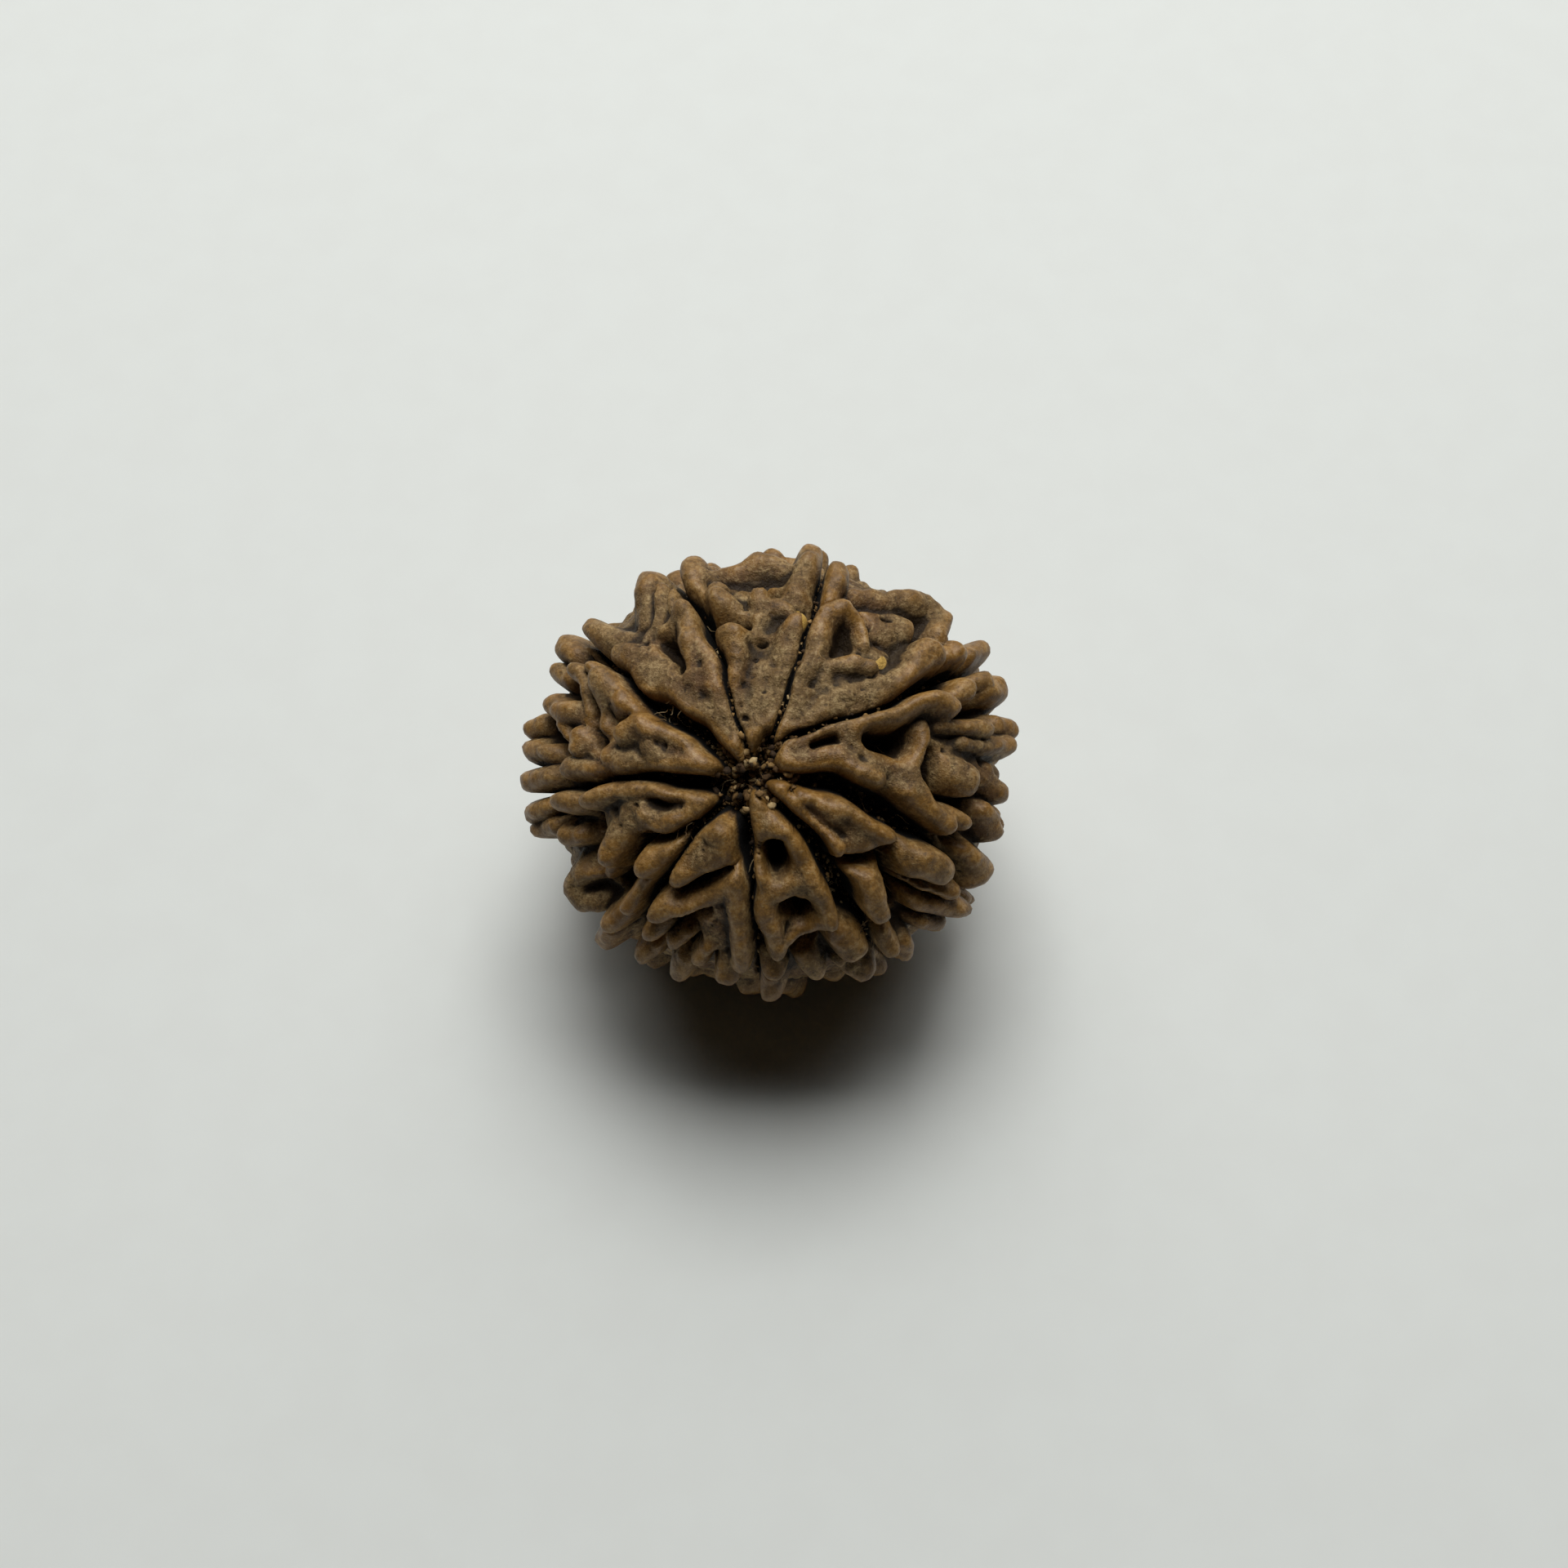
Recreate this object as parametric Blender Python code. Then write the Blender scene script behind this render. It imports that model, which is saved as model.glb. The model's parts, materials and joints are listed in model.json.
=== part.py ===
"""A nine-faced rudraksha bead: the stony seed of the rudraksha tree, lying on its worn lower knobs.

The bead is one piece that grew whole, so it is one solid. Nine furrows run from pole to pole and part
its wall into nine faces. Each face carries ridges that start at the pole, follow the furrows and rise
into blunt knobs. The wall is a dense ball whose points are pushed out by a formula: every ridge is a
brush stroke with a height and a half-width at each of its points, and strokes that meet are blended.
Last the skin of the knobs is blown up a little, so that they end round.

The bead has axes of its own: Z through the two poles, X and Y across the face. Positions on the upper
face are millimetres across and up that face. The object lies tilted, upper pole leaning towards -Y.
"""

import math
import random

import bmesh
import bpy
import numpy as np
from mathutils import Matrix, Vector, noise

MM = 0.001

# The ball, in millimetres: the valley floors lie on one spheroid and the ridge crests near another.
FLOOR_RADIUS_X = 10.3
FLOOR_RADIUS_Y = 9.65
FLOOR_HALF_HEIGHT = 8.7
CREST_RADIUS = 12.2
CREST_HALF_HEIGHT = 10.4

# How it lies: the pole leans from upright towards -Y, then a little towards -X. The knobs that would
# reach below the ground are worn off level there.
POLE_LEAN_DEG = 28.0
POLE_SIDE_LEAN_DEG = 5.0
CENTRE_HEIGHT = 10.7

INNER_LEVEL = 1.35         # the wall between the ridges near the poles, above the floor spheroid
OUTER_LEVEL = 0.6          # the same round the sides, where the knobs stand further out
INNER_REACH = 7.8          # where the one gives way to the other, from the axis
INNER_FADE = 0.35          # and how gradually
FURROW_DEPTH = 1.1         # the widest furrows, below the floor spheroid
WIDE_FURROW = 0.34         # half-width from which a furrow has its full depth
BLUNTNESS = 3.2            # of the ridges' cross-section: 2 is pointed, 4 nearly square
FATTEN = 0.13              # how much wider a ridge gets with each millimetre that it rises
BLEND_POWER = 4.0          # how sharply two ridges that meet stay apart
WAVER = 0.3                # how far the hand-drawn lines stray
WAVER_FINENESS = 0.55      # and how many times in a millimetre they change their way
LUMPS = ((0.16, 0.9), (0.06, 2.3))   # low lumps all over: their height, and how many in a millimetre
STEP = 0.7                 # length of the straight pieces that a curve is made of

SWELLING = 0.3             # how far the skin of the knobs is blown up, so that they end round
SWOLLEN_FROM = 0.06        # knobs and ridges that stand out less than this keep their skin
SWOLLEN_WHOLLY = 0.6       # and those that stand out more than this get all of it
REACH_ROUNDS = 10          # rounds of averaging that standing out is measured against

# The hidden side, where the upper face ends: tiers of knobs, one below the other.
FACE_REACH = 0.992         # how much of the crest radius the upper face covers
FIRST_TIER_DEG = (96, 99)  # least and most, from the upper pole
FIRST_TIER_SHARE = 0.72    # the first tier is this much lower than the others
TIER_STEP_DEG = (11, 14)
LAST_TIER_DEG = 168
KNOBS_APART = 2.5          # along a tier, about
FURROW_MARGIN = 1.0        # from the middle of a furrow to the first knob
OUTER_KNOB = (1.9, 2.35)   # height beside a furrow, least and most
INNER_KNOB = (1.3, 2.1)    # height away from the furrows
KNOB_WIDTH = (0.55, 0.7)   # half-width
SIDE_FURROW_WIDTH = 0.22   # half-width of the furrows there

BALL_SUBDIVISIONS = 7
RELAXING_ROUNDS = 5
MOST_TRIANGLES = 11600
SEED = 9
WAVER_SEED = 1795778946    # picks one of the many ways in which the lines can stray

noise.seed_set(WAVER_SEED)

# Furrows on the upper face, from the pole outwards: (across, up, half-width).
FACE_FURROWS = {
    "up_left": [
        (-0.4, 0.5, 0.25), (-0.65, 2.0, 0.13), (-1.05, 3.4, 0.14), (-1.5, 4.7, 0.15),
        (-1.95, 6.1, 0.2), (-2.4, 7.2, 0.33), (-2.9, 8.2, 0.33), (-3.9, 9.2, 0.22), (-4.4, 10.2, 0.18)
    ],
    "up_right": [
        (0.4, 0.6, 0.25), (1.15, 1.8, 0.2), (1.5, 3.1, 0.13), (1.95, 4.6, 0.13), (2.3, 6.2, 0.13),
        (2.75, 7.6, 0.15), (3.0, 8.8, 0.16), (3.2, 10.2, 0.18), (3.3, 11.2, 0.18)
    ],
    "right_high": [
        (0.7, 0.8, 0.25), (1.9, 1.6, 0.15), (3.2, 2.1, 0.13), (4.6, 2.5, 0.13), (6.0, 3.0, 0.16),
        (7.2, 3.65, 0.28), (8.5, 4.35, 0.45), (9.4, 4.9, 0.3), (10.6, 5.2, 0.18), (11.4, 5.1, 0.18)
    ],
    "right_low": [
        (0.6, -0.2, 0.25), (1.8, -0.2, 0.3), (3.2, -0.5, 0.42), (4.7, -0.95, 0.52), (6.2, -1.8, 0.58),
        (7.4, -2.7, 0.52), (8.6, -3.35, 0.3), (9.3, -4.3, 0.18), (9.8, -5.9, 0.2)
    ],
    "down_right": [
        (0.4, -0.8, 0.25), (1.5, -1.9, 0.26), (2.5, -3.0, 0.33), (3.4, -4.2, 0.4), (4.1, -5.5, 0.44),
        (4.6, -6.8, 0.44), (5.4, -7.9, 0.3), (6.0, -9.4, 0.2)
    ],
    "down": [
        (-0.5, -1.1, 0.4), (-0.4, -2.6, 0.4), (-0.3, -4.0, 0.42), (-0.25, -5.3, 0.28),
        (-0.1, -6.8, 0.15), (-0.1, -8.4, 0.14), (-0.2, -10.4, 0.16)
    ],
    "down_left": [
        (-1.2, -1.3, 0.35), (-2.2, -2.3, 0.28), (-3.0, -3.1, 0.22), (-3.6, -4.0, 0.2),
        (-4.4, -5.0, 0.23), (-5.2, -6.1, 0.3), (-5.9, -7.3, 0.25), (-6.7, -8.6, 0.2), (-7.2, -9.3, 0.2)
    ],
    "left": [
        (-1.4, -0.6, 0.4), (-2.8, -0.55, 0.36), (-4.3, -0.35, 0.3), (-6.0, -0.25, 0.22),
        (-7.4, -0.45, 0.18), (-8.6, -0.85, 0.22), (-10.0, -1.0, 0.2), (-11.6, -1.2, 0.18)
    ],
    "left_high": [
        (-1.2, 0.5, 0.3), (-2.3, 1.5, 0.35), (-3.5, 2.4, 0.42), (-4.6, 3.0, 0.45), (-5.5, 3.6, 0.3),
        (-6.3, 4.4, 0.2), (-7.3, 5.3, 0.2), (-8.4, 6.2, 0.2), (-9.2, 6.9, 0.2)
    ],
}

# Ridges and knobs on the upper face: points (across, up, height above the floor, half-width).
FACE_RIDGES = {
    "upper_left": [
        [(-0.9, 1.6, 1.2, 0.3), (-1.45, 3.2, 1.5, 0.5), (-2.1, 4.6, 1.6, 0.55), (-2.7, 6.0, 1.7, 0.6),
         (-3.3, 7.2, 2.0, 0.6), (-3.6, 7.8, 2.1, 0.55)],
        [(-3.6, 7.7, 2.0, 0.4), (-4.2, 7.3, 1.8, 0.38), (-4.8, 6.9, 1.6, 0.38)],
        [(-3.25, 6.2, 2.0, 0.45), (-3.2, 5.3, 1.7, 0.5), (-2.8, 4.4, 1.55, 0.5)],
        [(-1.8, 1.9, 1.2, 0.35), (-3.1, 3.4, 1.45, 0.6), (-4.6, 4.4, 1.55, 0.65), (-6.0, 5.4, 1.7, 0.65),
         (-6.9, 6.0, 1.8, 0.5)],
        [(-4.6, 5.0, 1.45, 1.3), (-5.3, 6.4, 1.45, 1.0)],
        [(-6.6, 6.7, 1.6, 0.6), (-7.6, 6.8, 2.0, 0.68), (-8.4, 6.9, 2.3, 0.72)],
        [(-5.6, 7.4, 1.4, 1.1), (-4.9, 8.2, 1.3, 1.1)],
        [(-6.0, 7.5, 1.6, 0.6), (-5.95, 8.5, 2.0, 0.7), (-5.7, 9.4, 2.4, 0.72)],
        [(-5.1, 7.3, 1.6, 0.33), (-5.0, 8.3, 1.9, 0.36), (-4.9, 9.0, 2.1, 0.38)],
        [(-4.4, 8.2, 1.6, 0.3), (-4.25, 8.9, 1.9, 0.33)],
    ],
    "top": [
        [(-0.35, 2.0, 1.3, 0.35), (-0.7, 3.8, 1.45, 0.45), (-1.0, 5.2, 1.65, 0.5), (-1.1, 6.3, 2.1, 0.6)],
        [(-0.7, 6.5, 1.7, 0.4), (0.0, 6.3, 1.45, 0.35)],
        [(0.95, 2.2, 1.3, 0.35), (1.25, 4.0, 1.45, 0.45), (1.55, 5.6, 1.6, 0.5), (1.85, 7.0, 2.0, 0.6)],
        [(-0.9, 7.9, 1.6, 0.5), (-1.7, 8.2, 2.1, 0.62), (-2.1, 8.3, 2.25, 0.6)],
        [(-2.2, 9.0, 1.8, 0.4), (-2.0, 9.2, 1.8, 0.4)],
        [(0.0, 7.8, 1.6, 0.6), (-0.05, 8.6, 2.1, 0.5)],
        [(0.8, 8.1, 1.7, 0.5), (1.4, 8.0, 1.7, 0.5)],
        [(-3.2, 8.9, 1.6, 0.55), (-3.4, 9.7, 2.1, 0.65), (-3.45, 10.2, 2.3, 0.65)],
        [(-2.7, 9.9, 1.7, 0.5), (-1.3, 10.3, 1.8, 0.55), (0.0, 10.6, 2.1, 0.6), (1.2, 10.3, 1.8, 0.5)],
        [(-2.0, 9.0, 1.4, 1.0), (1.6, 8.9, 1.4, 1.0)],
        [(1.9, 9.0, 1.6, 0.5), (2.2, 10.0, 2.1, 0.65), (2.4, 10.8, 2.4, 0.65)],
    ],
    "upper_right": [
        [(1.9, 3.0, 1.4, 0.4), (2.5, 4.8, 1.6, 0.55), (2.95, 6.4, 1.85, 0.6), (3.4, 7.4, 2.1, 0.6),
         (4.1, 7.7, 2.1, 0.5), (4.9, 7.2, 1.8, 0.42), (5.2, 6.3, 1.6, 0.4)],
        [(3.9, 5.1, 1.6, 0.45), (4.7, 5.1, 1.9, 0.45), (5.4, 5.0, 2.0, 0.42)],
        [(2.1, 2.4, 1.3, 0.35), (3.5, 3.15, 1.5, 0.5), (5.0, 3.65, 1.6, 0.55), (6.4, 4.2, 1.85, 0.6),
         (7.5, 5.0, 2.1, 0.68), (8.2, 5.5, 2.3, 0.7)],
        [(3.4, 4.0, 1.4, 0.8), (5.5, 5.6, 1.35, 1.2)],
        [(3.4, 8.4, 1.6, 0.45), (3.6, 9.3, 2.1, 0.58), (3.65, 9.9, 2.3, 0.5)],
        [(4.7, 9.0, 1.6, 0.5), (5.9, 8.8, 1.9, 0.6), (7.0, 8.6, 2.0, 0.65), (8.1, 8.3, 2.2, 0.7),
         (8.7, 7.6, 2.2, 0.6), (8.8, 6.7, 1.9, 0.45)],
        [(5.2, 7.6, 1.5, 1.0), (7.0, 7.4, 1.5, 1.2)],
        [(9.1, 5.8, 1.8, 0.5), (9.3, 5.8, 2.2, 0.62)],
        [(10.1, 6.0, 1.9, 0.45), (10.5, 6.0, 2.3, 0.5)],
    ],
    "right": [
        [(1.9, 1.4, 1.2, 0.25), (3.3, 1.85, 1.45, 0.3), (4.8, 2.2, 1.55, 0.4), (6.1, 2.75, 1.9, 0.5),
         (7.2, 3.25, 2.2, 0.6), (8.2, 3.35, 2.4, 0.62), (8.8, 3.0, 2.3, 0.5)],
        [(1.9, 0.6, 1.2, 0.35), (3.1, 0.75, 1.4, 0.45), (4.3, 0.5, 1.55, 0.55), (5.3, -0.1, 1.9, 0.6),
         (5.7, -0.4, 2.0, 0.5)],
        [(5.0, 1.9, 1.45, 0.4), (5.3, 1.0, 1.45, 0.5), (5.7, 0.2, 1.6, 0.5)],
        [(8.2, 2.1, 1.5, 0.45), (7.9, 1.1, 1.5, 0.55), (7.4, 0.2, 1.5, 0.7), (7.5, -0.9, 1.7, 0.75),
         (8.2, -1.8, 1.9, 0.55), (8.8, -2.6, 2.1, 0.5)],
        [(8.6, 0.9, 1.3, 1.0), (10.4, 0.4, 1.4, 1.0)],
        [(9.2, 0.2, 1.6, 0.6), (9.9, -0.3, 2.1, 0.75)],
        [(10.9, -0.2, 1.9, 0.6), (11.3, -0.8, 2.2, 0.6)],
        [(8.9, 2.2, 1.7, 0.35), (9.8, 2.15, 2.0, 0.4), (10.6, 2.0, 2.2, 0.42)],
        [(9.9, 1.3, 1.8, 0.38), (10.9, 1.2, 2.1, 0.42), (11.6, 1.2, 2.3, 0.45)],
        [(11.4, 2.2, 2.1, 0.5), (11.7, 2.0, 2.4, 0.5)],
        [(9.3, 3.9, 1.8, 0.45), (9.7, 4.0, 2.2, 0.5)],
        [(10.3, 4.4, 2.0, 0.42), (10.5, 4.5, 2.2, 0.42)],
        [(10.8, 3.9, 2.0, 0.5), (11.2, 4.0, 2.4, 0.6)],
        [(9.2, -2.1, 1.7, 0.38), (9.7, -2.4, 2.0, 0.42)],
        [(10.1, -3.9, 1.7, 0.55), (10.4, -4.8, 2.4, 0.75)],
        [(10.8, -1.9, 2.0, 0.5), (11.2, -2.9, 2.2, 0.5)],
    ],
    "lower_right": [
        [(1.35, -0.4, 1.2, 0.25), (2.4, -0.95, 1.45, 0.35), (3.7, -1.5, 1.6, 0.45), (5.0, -2.0, 1.9, 0.55),
         (6.2, -2.7, 2.2, 0.62)],
        [(2.2, -1.3, 1.3, 0.45), (3.6, -2.3, 1.5, 0.75), (5.1, -3.1, 1.65, 0.8)],
        [(1.6, -1.0, 1.3, 0.25), (2.5, -2.1, 1.45, 0.35), (3.3, -3.1, 1.7, 0.45), (3.9, -3.7, 1.9, 0.4)],
        [(4.9, -4.9, 1.9, 0.6), (5.4, -5.7, 2.1, 0.78), (5.9, -6.5, 2.3, 0.68)],
        [(7.2, -3.9, 1.8, 0.65), (7.9, -4.2, 2.2, 0.9), (8.5, -4.6, 2.3, 0.75)],
        [(8.2, -5.5, 1.6, 0.5), (9.1, -5.5, 2.2, 0.55)],
        [(7.6, -6.3, 1.6, 0.4), (8.6, -6.5, 2.1, 0.5), (9.6, -6.4, 2.4, 0.5)],
        [(8.0, -7.5, 1.8, 0.5), (8.6, -7.5, 2.1, 0.5)],
        [(6.2, -7.8, 1.8, 0.4), (6.3, -8.4, 2.2, 0.45)],
        [(6.9, -8.5, 1.8, 0.4), (6.9, -9.1, 2.1, 0.45)],
    ],
    "bottom": [
        [(0.3, -1.5, 1.2, 0.3), (1.2, -2.6, 1.55, 0.45), (2.1, -3.7, 1.6, 0.45), (2.9, -4.8, 1.8, 0.5),
         (3.5, -5.9, 2.1, 0.55), (3.8, -6.7, 2.3, 0.5)],
        [(0.0, -2.2, 1.3, 0.28), (0.1, -3.4, 1.55, 0.25), (0.3, -4.8, 1.6, 0.28), (0.5, -6.1, 1.75, 0.36),
         (0.7, -7.4, 2.0, 0.42), (0.9, -8.6, 2.15, 0.42)],
        [(0.7, -5.7, 1.7, 0.42), (1.6, -5.65, 1.7, 0.38), (2.5, -5.2, 1.7, 0.4)],
        [(1.2, -8.3, 1.9, 0.35), (2.0, -7.8, 1.6, 0.32), (3.0, -7.3, 1.7, 0.32), (3.8, -6.9, 2.0, 0.38)],
        [(0.6, -9.4, 1.6, 0.45), (0.7, -9.9, 2.1, 0.5)],
        [(0.4, -10.6, 1.8, 0.5), (0.3, -11.0, 2.2, 0.55)],
        [(3.9, -7.9, 1.7, 0.6), (4.6, -8.7, 2.2, 0.72)],
        [(4.3, -9.7, 1.7, 0.5), (5.0, -9.9, 2.2, 0.55)],
        [(2.2, -9.3, 1.5, 0.5), (2.7, -10.1, 1.9, 0.6)],
    ],
    "lower_left": [
        [(-1.3, -3.05, 1.75, 0.65), (-1.9, -3.6, 1.7, 0.8), (-2.8, -4.4, 1.75, 0.62), (-3.5, -5.0, 2.0, 0.5)],
        [(-2.7, -3.3, 1.6, 0.33), (-3.3, -4.1, 1.7, 0.33), (-3.7, -4.9, 1.9, 0.38)],
        [(-1.0, -5.3, 1.75, 0.5), (-0.9, -6.4, 1.75, 0.48), (-0.85, -7.8, 1.9, 0.45),
         (-0.9, -9.3, 2.2, 0.45)],
        [(-1.5, -5.8, 1.6, 0.4), (-2.4, -6.1, 1.55, 0.4), (-3.4, -6.3, 1.9, 0.42), (-4.7, -6.6, 2.3, 0.45)],
        [(-2.1, -7.0, 1.4, 0.9), (-2.1, -8.4, 1.6, 0.9)],
        [(-1.6, -9.3, 1.7, 0.45), (-1.6, -10.0, 2.2, 0.48)],
        [(-2.7, -8.8, 1.7, 0.45), (-3.0, -9.3, 2.0, 0.5)],
        [(-4.7, -7.3, 1.7, 0.4), (-5.3, -7.6, 2.2, 0.48)],
        [(-3.6, -8.0, 1.6, 0.4), (-4.3, -8.3, 1.9, 0.42)],
        [(-5.2, -8.8, 1.8, 0.48), (-5.9, -9.0, 2.2, 0.5)],
        [(-3.8, -9.6, 1.8, 0.5), (-4.2, -10.1, 2.1, 0.5)],
    ],
    "left": [
        [(-1.9, -1.2, 1.2, 0.3), (-3.2, -1.0, 1.45, 0.38), (-4.6, -0.9, 1.55, 0.38), (-6.0, -0.9, 1.6, 0.38),
         (-7.2, -1.05, 2.0, 0.42), (-7.9, -1.15, 2.2, 0.45)],
        [(-2.3, -1.6, 1.3, 0.4), (-3.2, -2.2, 1.6, 0.45), (-4.3, -2.5, 1.75, 0.48), (-5.2, -2.2, 1.7, 0.48)],
        [(-5.8, -2.3, 1.45, 0.65), (-6.7, -3.1, 1.7, 0.62), (-7.1, -4.0, 2.1, 0.55)],
        [(-3.6, -3.4, 1.5, 0.32), (-4.4, -3.8, 1.8, 0.38), (-5.1, -4.3, 2.1, 0.45)],
        [(-5.0, -4.9, 1.6, 0.35), (-5.6, -5.6, 1.9, 0.38), (-6.2, -6.3, 2.2, 0.42)],
        [(-6.7, -6.8, 1.8, 0.45), (-7.2, -7.3, 2.3, 0.5)],
        [(-7.8, -8.0, 1.9, 0.45), (-8.1, -8.3, 2.3, 0.5)],
        [(-8.6, -1.5, 1.7, 0.42), (-9.5, -1.5, 2.2, 0.48)],
        [(-10.6, -1.8, 1.9, 0.48), (-11.2, -2.0, 2.3, 0.48)],
        [(-10.4, -2.9, 1.8, 0.5), (-11.0, -2.9, 2.2, 0.5)],
        [(-9.0, -3.1, 1.6, 0.48), (-9.5, -3.2, 1.9, 0.55)],
        [(-6.9, -3.0, 1.3, 0.9), (-7.4, -5.3, 1.3, 0.8)],
        [(-8.6, -4.9, 1.7, 0.55), (-9.3, -5.3, 2.2, 0.65), (-9.0, -6.3, 2.3, 0.65), (-8.3, -6.6, 1.9, 0.5)],
    ],
    "left_high": [
        [(-1.8, 0.3, 1.2, 0.3), (-3.0, 1.45, 1.45, 0.4), (-4.6, 2.2, 1.6, 0.5), (-5.5, 2.2, 1.85, 0.55),
         (-6.1, 1.9, 2.0, 0.5)],
        [(-1.9, -0.2, 1.3, 0.28), (-3.0, 0.2, 1.5, 0.35), (-4.4, 0.5, 1.55, 0.4), (-5.1, 1.3, 1.6, 0.42)],
        [(-5.2, 0.4, 1.45, 0.42), (-6.4, 0.45, 1.65, 0.45), (-7.3, 0.9, 1.75, 0.45)],
        [(-5.9, 2.9, 1.5, 0.55), (-6.6, 3.4, 1.9, 0.72), (-7.4, 4.3, 2.3, 0.7)],
        [(-7.3, 3.2, 1.6, 0.3), (-7.4, 2.2, 1.5, 0.3)],
        [(-8.2, 1.0, 1.3, 0.9), (-8.6, 3.6, 1.2, 0.9)],
        [(-8.7, 1.7, 1.75, 0.5), (-8.9, 1.1, 1.75, 0.5)],
        [(-6.4, 0.15, 1.4, 0.3), (-8.2, 0.1, 1.7, 0.38), (-9.6, 0.2, 1.7, 0.45)],
        [(-10.5, -0.2, 1.9, 0.5), (-11.4, -0.4, 2.3, 0.5)],
        [(-10.6, 0.9, 1.8, 0.5), (-11.4, 1.0, 2.2, 0.55)],
        [(-11.2, 2.4, 1.9, 0.5), (-11.4, 2.2, 2.2, 0.6)],
        [(-8.2, 3.0, 1.6, 0.28), (-8.6, 4.2, 1.9, 0.32), (-8.9, 4.9, 2.1, 0.42)],
        [(-8.0, 4.6, 1.7, 0.35), (-8.1, 5.0, 2.0, 0.42)],
        [(-9.4, 5.8, 1.9, 0.45), (-9.9, 6.2, 2.3, 0.58)],
        [(-9.7, 4.8, 1.7, 0.45), (-10.2, 5.0, 2.1, 0.5)],
        [(-8.4, 2.7, 1.5, 0.4), (-9.6, 3.0, 1.9, 0.5), (-10.4, 3.4, 2.1, 0.55)],
        [(-9.7, 2.3, 1.8, 0.42), (-9.6, 1.7, 1.6, 0.4)],
    ],
}

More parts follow.
